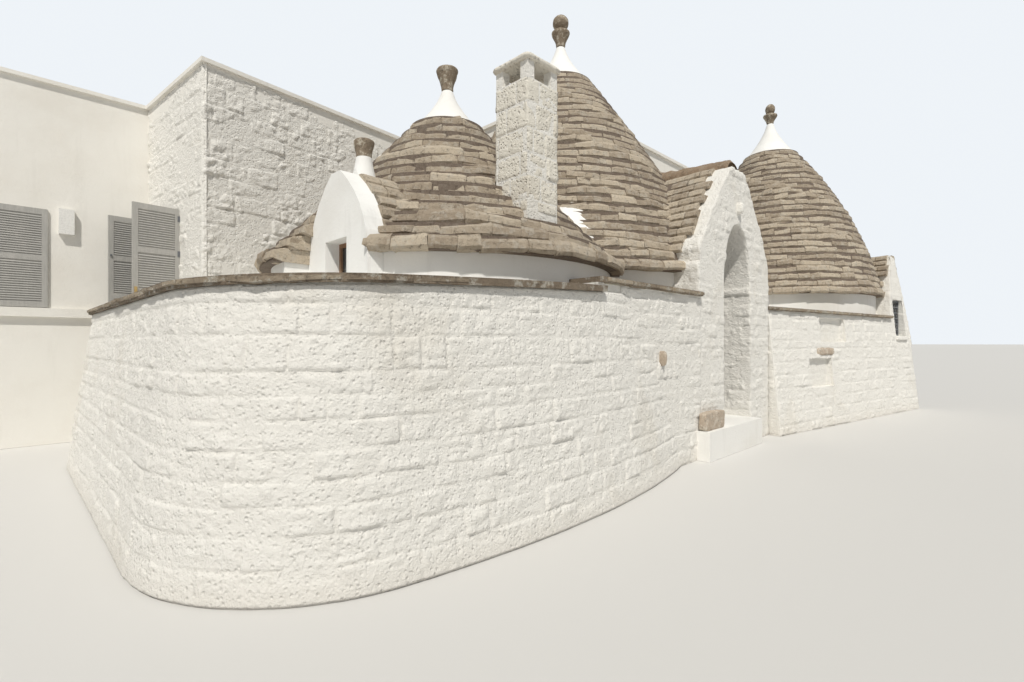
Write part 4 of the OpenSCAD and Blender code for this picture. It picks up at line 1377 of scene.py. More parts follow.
@dataclass(frozen=True)
class TallBlock:
    """The rough walls of the tall part behind, and of the end and the yard side of the right part."""

    finish: bpy.types.Material
    far: tuple[float, float] = (-6.27, 7.75)
    near: tuple[float, float] = (-6.02, 5.3)
    end: tuple[float, float] = (-1.52, 5.9)
    top: float = 5.685
    foot: float = 1.7
    window: tuple[float, float, float, float] = (0.235, 1.99, 1.475, 3.70)
    corner_lap: float = 0.02
    yard: tuple[tuple[float, float], ...] = ((7.866, -0.795), (9.02, 2.12), (8.32, 4.22), (3.42, 4.22))
    yard_top: float = 2.178
    yard_step: float = 0.026

    @staticmethod
    def between(first: Sequence[float], last: Sequence[float]) -> tuple[Placing, float]:
        """Frame of a wall from its first corner to its last.

        Args:
            first: First corner in the plan.
            last: Last corner in the plan.

        Returns:
            The wall's placing function and its length.
        """
        start, length = np.asarray(first), np.linalg.norm(np.asarray(last) - first)
        way = (np.asarray(last) - first) / length
        inward = np.array([-way[1], way[0]])

        def world(d: Array, y: Array, z: Array) -> Array:
            """Places on that wall.

            Args:
                d: Distances along it.
                y: Distances into the building.
                z: Heights.

            Returns:
                Points of shape (..., 3).
            """
            d, y, z = np.broadcast_arrays(d, y, z)
            flat = start + d[..., None] * way + y[..., None] * inward
            return np.concatenate([flat, z[..., None]], axis=-1)
        return world, length

    @staticmethod
    def rubble(seed: int) -> Rubble:
        """Large, deeply hewn blocks."""
        return Rubble(0.20, 0.30, 0.45, 0.012, 0.014, 0.010, 0.034, 0.03, seed=seed)

    def build(self) -> None:
        """Builds the five faces."""
        world, length = self.between(self.far, self.near)
        FlatFace("tall_left_face", 0.0, length + self.corner_lap, self.top, world, self.rubble(13),
                 foot=self.foot, holes=(self.window,)).build(self.finish)
        world, length = self.between(self.near, self.end)
        FlatFace("tall_front_face", -self.corner_lap, length, self.top, world, self.rubble(14),
                 foot=self.foot).build(self.finish)
        names = ("end_wall_face", "yard_corner_face", "yard_wall_face")
        for name, first, last in zip(names, self.yard, self.yard[1:]):
            world, length = self.between(first, last)
            FlatFace(name, 0.0, length, self.yard_top, world, Rubble(seed=25),
                     step=self.yard_step).build(self.finish)


@dataclass(frozen=True)
class Copings:
    """The rough brown slabs along the tops of the walls."""

    finish: bpy.types.Material
    start: float = 0.2
    before_end: float = 1.05
    last_x: float = -3.66
    widths: tuple[float, float] = (0.25, 0.62)
    reach: tuple[float, float] = (0.052, 0.085)
    thick: tuple[float, float] = (0.024, 0.034)
    middle: float = 0.034
    depth: float = 0.50
    straight_widths: tuple[float, float] = (0.22, 0.5)
    straight_thick: tuple[float, float] = (0.031, 0.040)
    straight_reach: float = 0.03
    straight_middle: float = 0.031
    shortest: float = 0.15
    straight_depth: float = 0.40

    @staticmethod
    def slabs(edges: Array) -> tuple[Array, Array]:
        """Middles and half widths of the slabs between edges, as columns."""
        return (edges[1:, None] + edges[:-1, None]) / 2, (edges[1:, None] - edges[:-1, None]) / 2

    def rounded(self) -> None:
        """Slabs along the terrace wall's top.

        Formula of a slab's point: distance along = middle + s half; height = the wall's top + t
        thickness; distance off the face = reach - d depth.
        """
        low, high = self.start, PATH.lengths()[3] - self.before_end
        draw = np.random.default_rng(62)
        edges = np.concatenate([[0], np.cumsum(draw.uniform(*self.widths, 60))])
        edges = edges[edges < high - low] + low
        edges = edges[PATH.place(edges, 0 * edges, 0 * edges)[:, 0] < self.last_x]
        middle, half = self.slabs(edges)
        out = draw.uniform(*self.reach, middle.shape)
        thick = draw.uniform(*self.thick, middle.shape)

        def place(s: Array, t: Array, d: Array) -> Array:
            """A slab's points on the terrace wall.

            Args:
                s: Places along the path, -1 to 1.
                t: Places up the slab, -1 to 1.
                d: Places across the wall's top, 0 to 1 from its outer edge.

            Returns:
                Points of shape (..., 3).
            """
            u = middle + s * half * 0.99
            up = np.stack([0 * s, 0 * s, self.middle + t * thick], axis=-1)
            return PATH.place(u, PATH.top(u), out - d * self.depth) + up

        points, quads, tone = stones_mesh(place, len(middle), 63, 0.013)
        add_piece("terrace_coping_stones", points, quads, self.finish, False, tone)

    def straight(self, name: str, low: float, high: float, z0: float, front: float, seed: int,
                 world: Placing) -> None:
        """Slabs along a straight wall's top.

        Args:
            name: Name of the piece.
            low: Where they start.
            high: Where they end.
            z0: Height that they lie on.
            front: Depth of their outer edge in the wall's frame.
            seed: Chooses the random numbers.
            world: Turns distance along, depth and height into places.
        """
        draw = np.random.default_rng(seed)
        edges = np.concatenate([[low], low + np.cumsum(draw.uniform(*self.straight_widths, 60))])
        edges = np.append(edges[edges < high - self.shortest], high)
        middle, half = self.slabs(edges)
        out = draw.uniform(0, self.straight_reach, middle.shape)
        thick = draw.uniform(*self.straight_thick, middle.shape)

        def place(s: Array, t: Array, d: Array) -> Array:
            """A slab's points: s along the wall, t up, d across its top."""
            return world(middle + s * half * 0.985, front - out + d * self.straight_depth,
                         z0 + self.straight_middle + t * thick)

        points, quads, tone = stones_mesh(place, len(middle), seed + 1, 0.007)
        add_piece(name, points, quads, self.finish, False, tone)

    def build(self) -> None:
        """Builds the three rows of slabs."""
        self.rounded()
        self.straight("entrance_coping_stones", -3.60, -1.33, 2.24, -0.055, 64, house_frame)
        self.straight("right_coping_stones", 0.04, 5.42, 2.18, 0.162, 65, RIGHT.world)


def mirrored(line: Array, closed: bool = False) -> Array:
    """A line up to its last point on the axis, and its mirror image back down on the other side.

    Args:
        line: Places across and heights, shape (n, 2).
        closed: Whether the line also starts on the axis, so that its first point isn't repeated.

    Returns:
        The whole line.
    """
    return np.concatenate([line, (line * [-1, 1])[-2:0 if closed else None:-1]])


def carried(line: Array, depths: Array) -> Array:
    """A line carried into a wall.

    Args:
        line: Places across and heights, shape (n, 2).
        depths: Depths, shape (m,).

    Returns:
        Places across, depths and heights, shape (n, m, 3).
    """
    shape = (len(line), len(depths))
    return np.stack([np.broadcast_to(line[:, None, 0], shape), np.broadcast_to(depths[None], shape),
                     np.broadcast_to(line[:, None, 1], shape)], axis=-1)


def between_lines(inner: Array, outer: Array, count: int) -> Array:
    """A flat face between two lines, at depth nothing.

    Args:
        inner: Line round the opening, shape (n, 2).
        outer: Line of the outline, shape (n, 2).
        count: Points from one to the other.

    Returns:
        Places across, depths and heights, shape (n, count, 3).
    """
    flat = inner[:, None] + (outer - inner)[:, None] * np.linspace(0, 1, count)[None, :, None]
    return np.stack([flat[..., 0], np.zeros(flat.shape[:2]), flat[..., 1]], axis=-1)


@dataclass(frozen=True)
class EntranceGable:
    """The narrow gable over the doorway: reveal, front face and ragged flanks round the tall arch."""

    finish: bpy.types.Material
    rubble: Rubble = Rubble(0.14, 0.22, 0.36, 0.013, 0.014, 0.009, 0.024, seed=17)
    thick: float = 0.55
    spring: float = 2.45
    crown: float = 3.45
    half: float = 0.525
    quoin: float = 0.17
    quoin_out: float = 0.045
    quoin_in: float = 0.012
    off: float = 0.006
    soffit_off: float = 0.012
    soffit_share: float = 0.25
    ledge_off: float = 0.030
    ledge_half: float = 0.05

    def lines(self) -> tuple[Array, Array]:
        """The doorway's line and the gable's outline, in the same number of steps.

        Returns:
            Both lines, shape (n, 2).
        """
        upright = np.linspace(0, self.spring, 112)
        turn = np.linspace(0, math.pi / 2, 62)[1:]
        inner_x = np.concatenate([np.full_like(upright, self.half), self.half * np.cos(turn)])
        inner_z = np.concatenate([upright, self.spring + (self.crown - self.spring) * np.sin(turn)])
        up = np.linspace(self.spring, ENTRANCE_GABLE.top, 46)[1:]
        level = np.linspace(1, 0, len(turn) - len(up) + 1)[1:]
        edge_z = np.concatenate([upright, up, np.full_like(level, ENTRANCE_GABLE.top)])
        edge_x = ENTRANCE_GABLE.half_width(edge_z)
        rising = len(upright) + len(up)
        edge_x[rising:] = level * edge_x[rising - 1]
        stone = np.floor(edge_z / self.quoin)
        step = self.quoin_out * lattice(np.stack([stone, stone * 0, stone * 0], axis=-1), 2) - self.quoin_in
        edge_x = edge_x + step * (edge_x > 0.2)
        return mirrored(np.stack([inner_x, inner_z], -1)), mirrored(np.stack([edge_x, edge_z], -1))

    def build(self) -> None:
        """Builds the gable as one ribbon.

        Formula: the inner line follows the doorway (jamb, then half an ellipse), the outer line the
        gable's outline, whose stones stand out or in by a random step at each quoin; the face blends
        the two lines, and at both lines the ribbon turns back into the wall's thickness.
        """
        inner, outer = self.lines()
        deep = np.linspace(self.thick, 0, 24)[:-1]
        points = np.concatenate([carried(inner, deep), between_lines(inner, outer, 40),
                                 carried(outer, deep[::-1])], axis=1)[::-1]
        x, y, z = np.moveaxis(points, -1, 0)
        lift = self.off + self.rubble.relief(np.where(y > 0, y + 3.1, x + 1.5), z, points)
        within = (np.abs(x) < self.half + 0.02) & (y > 0.02)
        lift = np.where(within & (z > self.spring), self.soffit_off + self.soffit_share * lift, lift)
        lift = np.where(within & (np.abs(z - self.spring) < self.ledge_half), self.ledge_off, lift)
        skin("entrance_gable_face", points, lift, self.finish)


@dataclass(frozen=True)
class WindowGable:
    """The small gable over the grille: reveal, leaning face and flanks round the window."""

    finish: bpy.types.Material
    rubble: Rubble = Rubble(0.13, 0.20, 0.30, 0.012, 0.014, 0.008, 0.020, seed=19)
    half: float = 0.31
    sill: float = 1.76
    head: float = 2.64
    foot: float = 1.0
    foot_half: float = 0.52
    deep: float = 0.32
    share: float = 0.55
    off: float = 0.006
    across_steps: int = 16
    upright_steps: int = 44

    def lines(self) -> tuple[Array, Array]:
        """The window's line and the gable's outline, from the middle of the sill round to it again.

        Returns:
            Both lines, shape (n, 2).
        """
        side, tall = self.across_steps, self.upright_steps
        corner = ((0, self.sill), (self.half, self.sill), (self.half, self.head), (0, self.head))
        parts = [np.linspace(corner[i], corner[i + 1], n, endpoint=False)
                 for i, n in enumerate((side, tall, side))]
        inner = np.concatenate(parts + [np.array([corner[3]])])
        z = np.concatenate([np.full(side, self.foot),
                            np.linspace(self.foot, WINDOW_GABLE.top, tall + 1)[:-1],
                            np.full(side + 1, WINDOW_GABLE.top)])
        x = WINDOW_GABLE.half_width(z)
        x[:side] = np.linspace(0, self.foot_half, side, endpoint=False)
        x[side + tall:] = np.linspace(x[side + tall - 1], 0, side + 1)
        return mirrored(inner, True), mirrored(np.stack([x, z], axis=-1), True)

    def build(self) -> None:
        """Builds the gable as one ribbon, and the two plain faces beside it.

        Formula: the face blends the window's line with the gable's outline, and at both lines the
        ribbon turns back into the wall's thickness, from a face that leans back with its height.
        """
        inner, outer = self.lines()
        rows = np.linspace(self.deep, 0.0, 14)[:-1]
        local = np.concatenate([carried(inner, rows * self.share), between_lines(inner, outer, 26),
                                carried(outer, rows[::-1] * self.share)], axis=1)[::-1]
        across, depth, height = np.moveaxis(local, -1, 0)
        points = RIGHT.face(WINDOW_D + across, depth, height)
        lift = self.off + self.rubble.relief(points[..., 0] * 1.2, points[..., 2], points)
        skin("window_gable_face", points, lift, self.finish, closed=True)
        FlatFace("window_gable_foot", 5.43, 6.54, 1.02, RIGHT.world, Rubble(seed=20),
                 RIGHT.lean).build(self.finish)
        FlatFace("window_gable_shoulder", 6.44, 6.545, 2.17, RIGHT.world, Rubble(seed=22), RIGHT.lean,
                 0.98).build(self.finish)


@dataclass(frozen=True)
class Chimney:
    """The square stack of pitted blocks and its thin cap with a rolled edge."""

    finish: bpy.types.Material
    rubble: Rubble = Rubble(0.22, 0.34, 0.30, 0.012, 0.012, 0.006, 0.010, 0.006, seed=23)
    x: float = -3.79
    y: float = 0.94
    half: float = 0.25
    foot: float = 3.05
    top: float = 4.532
    spacing: float = 0.0192
    off: float = 0.006
    pit: float = 0.03
    cap_out: float = 0.045
    cap_low: float = 4.718
    cap_high: float = 4.785
    cap_rough: float = 0.004

    def build(self) -> None:
        """Builds the stack's face and the cap's slab.

        Formula of the face: a square line round the stack, carried upwards, lifted by the relief
        less the part of rough noise over 0.35.
        """
        half = self.half
        side = np.linspace(-half, half, 27)[:-1]
        line = np.concatenate([np.stack([side, np.full_like(side, -half)], -1),
                               np.stack([np.full_like(side, half), side], -1),
                               np.stack([-side, np.full_like(side, half)], -1),
                               np.stack([np.full_like(side, -half), -side], -1)])
        z = np.linspace(self.foot, self.top, 78)
        shape = (len(line), len(z))
        points = np.stack([np.broadcast_to(self.x + line[:, None, 0], shape),
                           np.broadcast_to(self.y + line[:, None, 1], shape),
                           np.broadcast_to(z[None], shape)], axis=-1)
        along = np.broadcast_to(np.arange(len(line))[:, None] * self.spacing, shape)
        lift = self.off + self.rubble.relief(along, points[..., 2], points)
        pits = (rough(points, 34, 2, 3) - 0.35).clip(0, None) * self.pit
        skin("chimney_face", points, lift - pits, self.finish, closed=True)
        self.cap()

    def cap(self) -> None:
        """The cap's slab.

        Formula: a square outline, rounded as a superellipse of power ten, times a profile that goes
        from the middle of the bottom over a half round edge to the middle of the top, plus small noise.
        """
        half, low, high = self.half + self.cap_out, self.cap_low, self.cap_high
        angle = np.linspace(0, 2 * math.pi, 120, endpoint=False)
        c, s = np.cos(angle), np.sin(angle)
        square = (np.abs(c) ** 10 + np.abs(s) ** 10) ** -0.1
        turn = np.linspace(-math.pi / 2, math.pi / 2, 9)
        middle, edge = (low + high) / 2, (high - low) / 2
        rings = [1e-4, 0.3 * half, 0.7 * half]
        r = np.concatenate([rings, half - edge + edge * np.cos(turn), rings[::-1]])
        z = np.concatenate([[low] * 3, middle + edge * np.sin(turn), [high] * 3])
        radius = square[:, None] * r[None]
        points = np.stack([self.x + radius * c[:, None], self.y + radius * s[:, None],
                           np.broadcast_to(z, radius.shape)], -1)
        points = points + normals(points, True) * (self.cap_rough * rough(points, 12, 3, 4))[..., None]
        add_piece("chimney_cap_slab", points, grid_quads(*radius.shape, closed=True), self.finish,
                  hides=("chimney_cap",))


@dataclass(frozen=True)
class ValleyPatch:
    """The white lime patch in the valley between the first two cones, behind the chimney."""

    finish: bpy.types.Material
    x: float = -2.54
    y: float = 1.30
    long: float = 0.40
    wide: float = 0.25
    turn: tuple[float, float] = (0.99, 0.16)
    dome: float = 0.17
    sunk: float = 0.05
    uneven: float = 0.02

    def build(self) -> None:
        """Builds the patch.

        Formula: an ellipse's grid of rings over the plan; its height is the higher cone's flank plus a
        flat dome with rough noise, and the rim is sunk among the stones.
        """
        angle, share = np.meshgrid(np.linspace(0, 2 * math.pi, 72, endpoint=False),
                                   np.linspace(1, 0.001, 20), indexing="ij")
        edge = 1 + 0.25 * noise(np.stack([np.cos(angle), np.sin(angle), 0 * angle], -1), 1.7, 9)
        along, across = self.long * share * edge * np.cos(angle), self.wide * share * edge * np.sin(angle)
        c, s = self.turn
        x, y = self.x + c * across - s * along, self.y + c * along + s * across
        flank = np.maximum(FIRST.height(x, y), MIDDLE.height(x, y))
        points = np.stack([x, y, flank], axis=-1)
        swell = self.dome * np.sqrt((1 - share ** 2).clip(0, None))
        points[..., 2] += swell - self.sunk + self.uneven * rough(points, 9, 3, 4)
        add_piece("valley_lime_patch", points, grid_quads(*x.shape, closed=True), self.finish)


# Smaller pieces

def turned(name: str, x: float, y: float, profile: Sequence[Sequence[float]], finish: bpy.types.Material,
           uneven: float, hides: Sequence[str]) -> None:
    """A piece turned round an upright axis, a little uneven.

    Formula: radius and height from the profile, smoothed by interpolation over its length, times the
    circle, with the radius changed by rough noise.

    Args:
        name: Name of the piece.
        x: Axis along the front.
        y: Axis into the building.
        profile: Radii and heights from the foot's middle to the top's.
        finish: Material.
        uneven: Height of the noise.
        hides: CAD nodes that it stands for.
    """
    around, rings, span = 72, 64, 5
    profile = np.array(profile)
    length = np.concatenate([[0], np.cumsum(np.hypot(*np.diff(profile, axis=0).T))])
    fine = np.linspace(0, length[-1], rings)
    r, z = (np.interp(fine, length, profile[:, k]) for k in (0, 1))
    soft = np.convolve(np.pad(r, span // 2, mode="edge"), np.ones(span) / span, mode="valid")
    r = np.maximum(np.where(r > 0.01, soft, r), 1e-4)
    angle = np.linspace(0, 2 * math.pi, around, endpoint=False)[:, None]
    z = np.broadcast_to(z, (around, rings))
    even = np.stack([x + r * np.cos(angle), y + r * np.sin(angle), z], -1)
    change = 1 + uneven * rough(even, 14, 3, x) / max(r.max(), 0.02)
    points = np.stack([x + (r * np.cos(angle)) * change, y + (r * np.sin(angle)) * change, z], -1)
    add_piece(name, points, grid_quads(around, rings, closed=True), finish, hides=hides)


def boxes(name: str, low: Array, high: Array, world: LocalFrame, finish: bpy.types.Material) -> None:
    """Small bars in one piece, each between two corners.

    Args:
        name: Name of the piece.
        low: Lowest corners, shape (n, 3).
        high: Highest corners, shape (n, 3).
        world: Turns local points (..., 3) into places.
        finish: Material.
    """
    low, high = np.atleast_2d(low), np.atleast_2d(high)
    add_bars(name, world(low[:, None] + (high - low)[:, None] * CORNERS[None]), finish)


def frame_of(origin: Sequence[float], way: Sequence[float]) -> LocalFrame:
    """Upright local frame: X along a direction of the plan, Y square to it on its left.

    Args:
        origin: Place of the local origin on the ground.
        way: Direction of local X in the plan.

    Returns:
        A function from local points to places.
    """
    along = np.asarray(way, float) / np.linalg.norm(way)
    axes = np.array([[along[0], along[1], 0], [-along[1], along[0], 0], [0, 0, 1]])

    def world(points: Array) -> Array:
        """Places of local points."""
        return points @ axes + np.array([origin[0], origin[1], 0])
    return world


@dataclass(frozen=True)
class Leaf:
    """Louvres in the sunk panels of one shutter leaf, on both faces."""

    name: str
    face: float
    start: float
    foot: float
    panels: Sequence[float]
    world: LocalFrame
    wide: float = 0.48
    thick: float = 0.04
    rail: float = 0.09
    pitch: float = 0.036
    slat: float = 0.007
    sunk: float = 0.014
    margin: float = 0.012
    proud: float = 0.001
    tilt: float = 0.016

    def build(self, finish: bpy.types.Material) -> None:
        """Builds the slats.

        Formula: between the rails a slat at every pitch, its outer edge lower than its inner one.

        Args:
            finish: The shutters' paint.
        """
        before = np.concatenate([[0], np.cumsum(self.panels)[:-1]])
        feet = self.foot + self.rail * (1 + np.arange(len(self.panels))) + before
        rows = np.concatenate([foot + self.margin + np.arange(int((tall - 0.02) / self.pitch)) * self.pitch
                               for foot, tall in zip(feet, self.panels)]) + self.margin
        low, high = [], []
        for x in (self.face + self.proud, self.face + self.thick - self.sunk):
            near, far = np.full_like(rows, x), np.full_like(rows, x + self.sunk - self.proud)
            start = np.full_like(rows, self.start)
            low.append(np.stack([near, start, rows], -1))
            high.append(np.stack([far, np.full_like(rows, self.start + self.wide), rows + self.slat], -1))
        low, high = np.concatenate(low), np.concatenate(high)
        points = low[:, None] + (high - low)[:, None] * CORNERS[None]
        outward = np.where(low[:, 0] < self.face + 0.01, 1.0, -1.0)[:, None]
        points[..., 2] += self.tilt * outward * (CORNERS[None, :, 0] - 0.5)
        add_bars(self.name, self.world(points), finish)


@dataclass(frozen=True)
class Joinery:
    """Shutter louvres and fittings, window panes, the grille's bars and the dormer's panes."""

    finishes: Finishes
    tall_left: tuple[tuple[float, float], tuple[float, float]] = ((-6.27, 7.75), (0.25, -2.45))
    wing: tuple[float, float] = (-9.45, 7.75)
    dormer: tuple[float, float] = (-5.62, 1.98)
    door_start: float = 0.235
    door_end: float = 1.475
    door_foot: float = 1.99
    door_top: float = 3.70
    wing_foot: float = 2.16
    wing_tall: float = 1.54
    door_rails: float = 0.36
    wing_rails: float = 0.27
    stile: float = 0.07
    leaf: float = 0.62
    leaf_thick: float = 0.04
    gap: float = 0.0005
    hinge_gap: float = 0.0003
    frame_bar: float = 0.045
    pane: tuple[float, float] = (0.022, 0.0305)
    grille_half: float = 0.26
    grille_foot: float = 1.81
    grille_tall: float = 0.88
    grille_rows: int = 6
    grille_columns: int = 8
    grille_rail: float = 0.03
    grille_depth: float = 0.338
    bar_wide: float = 0.010
    bar_thick: float = 0.014

    def build(self) -> None:
        """Builds the joinery."""
        left = frame_of(*self.tall_left)
        panelled = self.door_top - self.door_foot - self.door_rails
        door = [panelled * share for share in (0.19, 0.395, 0.415)]
        window = [(self.wing_tall - self.wing_rails) / 2] * 2
        far, near = self.door_start - self.leaf_thick - self.gap, self.door_end + self.gap
        start = -self.leaf - self.hinge_gap + self.stile
        for name, x in (("far_leaf_louvres", far), ("near_leaf_louvres", near)):
            Leaf(name, x, start, self.door_foot, door, left).build(self.finishes.shutter)
        for name, offset in (("wing_left_louvres", -self.leaf - self.gap), ("wing_right_louvres", 1.2405)):
            world = frame_of((self.wing[0] + offset, self.wing[1] - self.hinge_gap), (0, -1))
            Leaf(name, 0.0, self.stile, self.wing_foot, window, world).build(self.finishes.shutter)
        self.fittings(left, far, near)
        self.panes(left)
        self.grille()

    def fittings(self, left: LocalFrame, far: float, near: float) -> None:
        """The bolt and hinges of the near leaf, and the knob of the far one.

        Args:
            left: Frame of the tall block's left wall.
            far: Face of the far leaf.
            near: Face of the near leaf.
        """
        metal, face = self.finishes.metal, self.leaf_thick
        boxes("shutter_bolt", np.array([near + face, -0.60, 2.28]), np.array([near + 0.058, -0.565, 2.44]),
              left, self.finishes.brass)
        boxes("shutter_knob", np.array([far + face, -0.60, 3.03]), np.array([far + 0.060, -0.578, 3.06]),
              left, metal)
        z = np.array([2.30, 2.95, 3.50])
        low = np.stack([np.full(3, near - 0.004), np.full(3, -0.035), z], -1)
        high = np.stack([np.full(3, near + 0.046), np.full(3, 0.004), z + 0.09], -1)
        boxes("shutter_hinges", low, high, left, metal)

    def panes(self, left: LocalFrame) -> None:
        """Two panes side by side in each window's frame and in the dormer's.

        Args:
            left: Frame of the tall block's left wall.
        """
        bar = self.frame_bar
        for name, world, x, y, z, wide, tall in (
                ("door_panes", left, self.door_start, 0.15, self.door_foot, 1.24, 1.71),
                ("wing_panes", frame_of(self.wing, (1, 0)), 0.0, 0.15, self.wing_foot, 1.24, self.wing_tall),
                ("dormer_panes", frame_of(self.dormer, (0, -1)), -0.24, 0.16, 2.20, 0.48, 0.49)):
            width = (wide - 3 * bar) / 2
            starts = np.array([x + bar, x + 2 * bar + width])
            low = np.stack([starts, np.full(2, y + self.pane[0]), np.full(2, z + bar)], -1)
            high = np.stack([starts + width, np.full(2, y + self.pane[1]), np.full(2, z + tall - bar)], -1)
            boxes(name, low, high, world, self.finishes.glass)

    def grille(self) -> None:
        """Zigzag bars between the grille's frame and rails.

        Formula: in each row, bars lean to and fro, one in each column.
        """
        pitch = (self.grille_tall - 0.10 + self.grille_rail) / self.grille_rows
        step = 2 * self.grille_half / self.grille_columns
        columns, rows = np.arange(self.grille_columns), np.arange(self.grille_rows)
        i, k = (v.ravel() for v in np.meshgrid(columns, rows, indexing="ij"))
        lean = np.where((i + k) % 2 == 0, 1.0, -1.0)
        foot = self.grille_foot + k * pitch
        head = foot + pitch - self.grille_rail
        start = -self.grille_half + i * step + np.where(lean > 0, 0.0, step)
        side, depth, up = CORNERS[None, :, 0], CORNERS[None, :, 1], CORNERS[None, :, 2]
        x = start[:, None] + lean[:, None] * step * up + self.bar_wide * (side - 0.5)
        y = self.grille_depth + self.bar_thick * depth + 0 * x
        z = np.where(up == 1, head[:, None], foot[:, None])
        add_bars("grille_bars", RIGHT.world(WINDOW_D + x, y, z), self.finishes.metal)


class Top(Enum):
    """What stands on a finial's cup."""

    PLAIN = "nothing"
    BALL = "ball"


@dataclass(frozen=True)
class Finial:
    """A carved finial: a cup-shaped stone that flares upwards, with or without a ball."""

    name: str
    x: float
    y: float
    foot: float
    cup_r: float
    cup_h: float
    uneven: float
    top: Top = Top.PLAIN
    ball_r: float = 0.0
    ball_h: float = 0.0
    neck: float = 0.085

    def profile(self) -> list[tuple[float, float]]:
        """Radii and heights from the foot's middle to the top's.

        Returns:
            The cup's profile, then the ball's where there is one.
        """
        z, r, h, neck = self.foot, self.cup_r, self.cup_h, self.neck
        line = [(0, z), (neck, z), (neck * 0.98, z + 0.15 * h), (neck + (r - neck) * 0.3, z + 0.42 * h),
                (neck + (r - neck) * 0.75, z + 0.68 * h), (r, z + 0.84 * h), (0.98 * r, z + 0.93 * h),
                (0.80 * r, z + 0.985 * h), (0.4 * r, z + h)]
        z, r, h = z + h, self.ball_r, self.ball_h
        if self.top is Top.BALL:
            turns = [math.radians(v) for v in np.linspace(-50, 88, 14)]
            line += [(r * math.cos(v), z + h * 0.5 + h * 0.5 * math.sin(v)) for v in turns]
        return line + [(0, z + h)]

    def build(self, finish: bpy.types.Material) -> None:
        """Turns the finial."""
        turned(f"{self.name}_finial_stone", self.x, self.y, self.profile(), finish,
               self.uneven, (f"{self.name}_finial",))


@dataclass(frozen=True)
class Ornaments:
    """The cones' lime caps and all the finials."""

    finishes: Finishes
    finials: tuple[Finial, ...] = (
        Finial("first", FIRST.x, FIRST.y, 5.17, 0.156, 0.33, 0.012),
        Finial("middle", MIDDLE.x, MIDDLE.y, 7.18, 0.175, 0.31, 0.010, Top.BALL, 0.15, 0.30),
        Finial("right", RIGHTMOST.x, RIGHTMOST.y, 7.41, 0.175, 0.25, 0.010, Top.BALL, 0.12, 0.28),
        Finial("dormer", -5.29, 1.98, 3.63, 0.11, 0.20, 0.006))
    caps: tuple[tuple[str, Cone, float, float], ...] = (
        ("first", FIRST, 5.17, 0.44), ("middle", MIDDLE, 7.18, 0.52), ("right", RIGHTMOST, 7.41, 0.58))
    neck: float = 0.085
    over: float = 0.04
    bend: float = 1.45
    lip: float = 0.03
    uneven: float = 0.010

    def build(self) -> None:
        """Builds the finials, then the caps.

        Formula of a cap's radius: from a little over the cone's top to the neck, as (1 - t)^bend.
        """
        for finial in self.finials:
            finial.build(self.finishes.carved)
        t = np.linspace(0, 1, 24)
        for name, cone, top, out in self.caps:
            flank = self.neck + (cone.r_top + self.over - self.neck) * (1 - t) ** self.bend
            foot = cone.top - self.lip
            profile = np.concatenate([[[0, foot], [out - 0.02, foot]],
                                      np.stack([flank, cone.top + (top - cone.top) * t], -1), [[0, top]]])
            turned(f"{name}_cap_lime", cone.x, cone.y, profile, self.finishes.white,
                   self.uneven, (f"{name}_cap",))


@dataclass(frozen=True)
class SingleStone:
    """A rough block between two corners that stands out of the lime."""

    name: str
    low: tuple[float, float, float]
    high: tuple[float, float, float]
    world: Placing
    seed: int
    power: float
    uneven: float
    hides: tuple[str, ...] = ()
    limed: bool = False
    shrunk: float = 0.97

    def build(self, finishes: Finishes) -> None:
        """Builds the stone.

        Formula: points of a sphere's grid, each pushed out to a superellipsoid of the given power,
        scaled to the block's half sizes and moved by rough noise.

        Args:
            finishes: All materials; the stone is bare or limed.
        """
        finish = finishes.lime if self.limed else finishes.brown
        low, high = np.asarray(self.low), np.asarray(self.high)
        up, turn = np.meshgrid(np.linspace(-math.pi / 2, math.pi / 2, 40),
                               np.linspace(0, 2 * math.pi, 80, endpoint=False), indexing="xy")
        way = np.stack([np.cos(up) * np.cos(turn), np.cos(up) * np.sin(turn), np.sin(up)], axis=-1)
        reach = (np.abs(way) ** self.power).sum(axis=-1, keepdims=True) ** (-1 / self.power)
        points = (low + high) / 2 + way * reach * ((high - low) / 2) * self.shrunk
        points = points + way * self.uneven * rough(points, 16, 3, self.seed)[..., None]
        points = self.world(*np.moveaxis(points, -1, 0))
        add_piece(self.name, points, grid_quads(*up.shape, closed=True), finish,
                  hides=self.hides)


SINGLE_STONES = (
    SingleStone("niche_stone", (1.60, -0.038, 1.365), (2.36, 0.16, 1.515), RIGHT.face, 71, 5, 0.014,
                ("face_stones",)),
    SingleStone("side_peg_stone", (-2.425, -0.088, 1.315), (-2.372, 0.06, 1.505), house_frame, 72, 3,
                0.007),
    SingleStone("gable_peg_stone", (-0.060, -0.095, 3.60), (0.060, 0.06, 3.78), house_frame, 73, 3,
                0.008, limed=True),
    SingleStone("step_stone", (-1.402, -0.130, 0.394), (-0.76, -0.002, 0.655), house_frame, 74, 7,
                0.012, ("step_block",)),
    SingleStone("window_sill_stone", (5.60, -0.055, 1.672), (6.30, 0.20, 1.757), RIGHT.face, 75, 8, 0.006,
                ("window_sill",), limed=True))


# Room, lights and camera

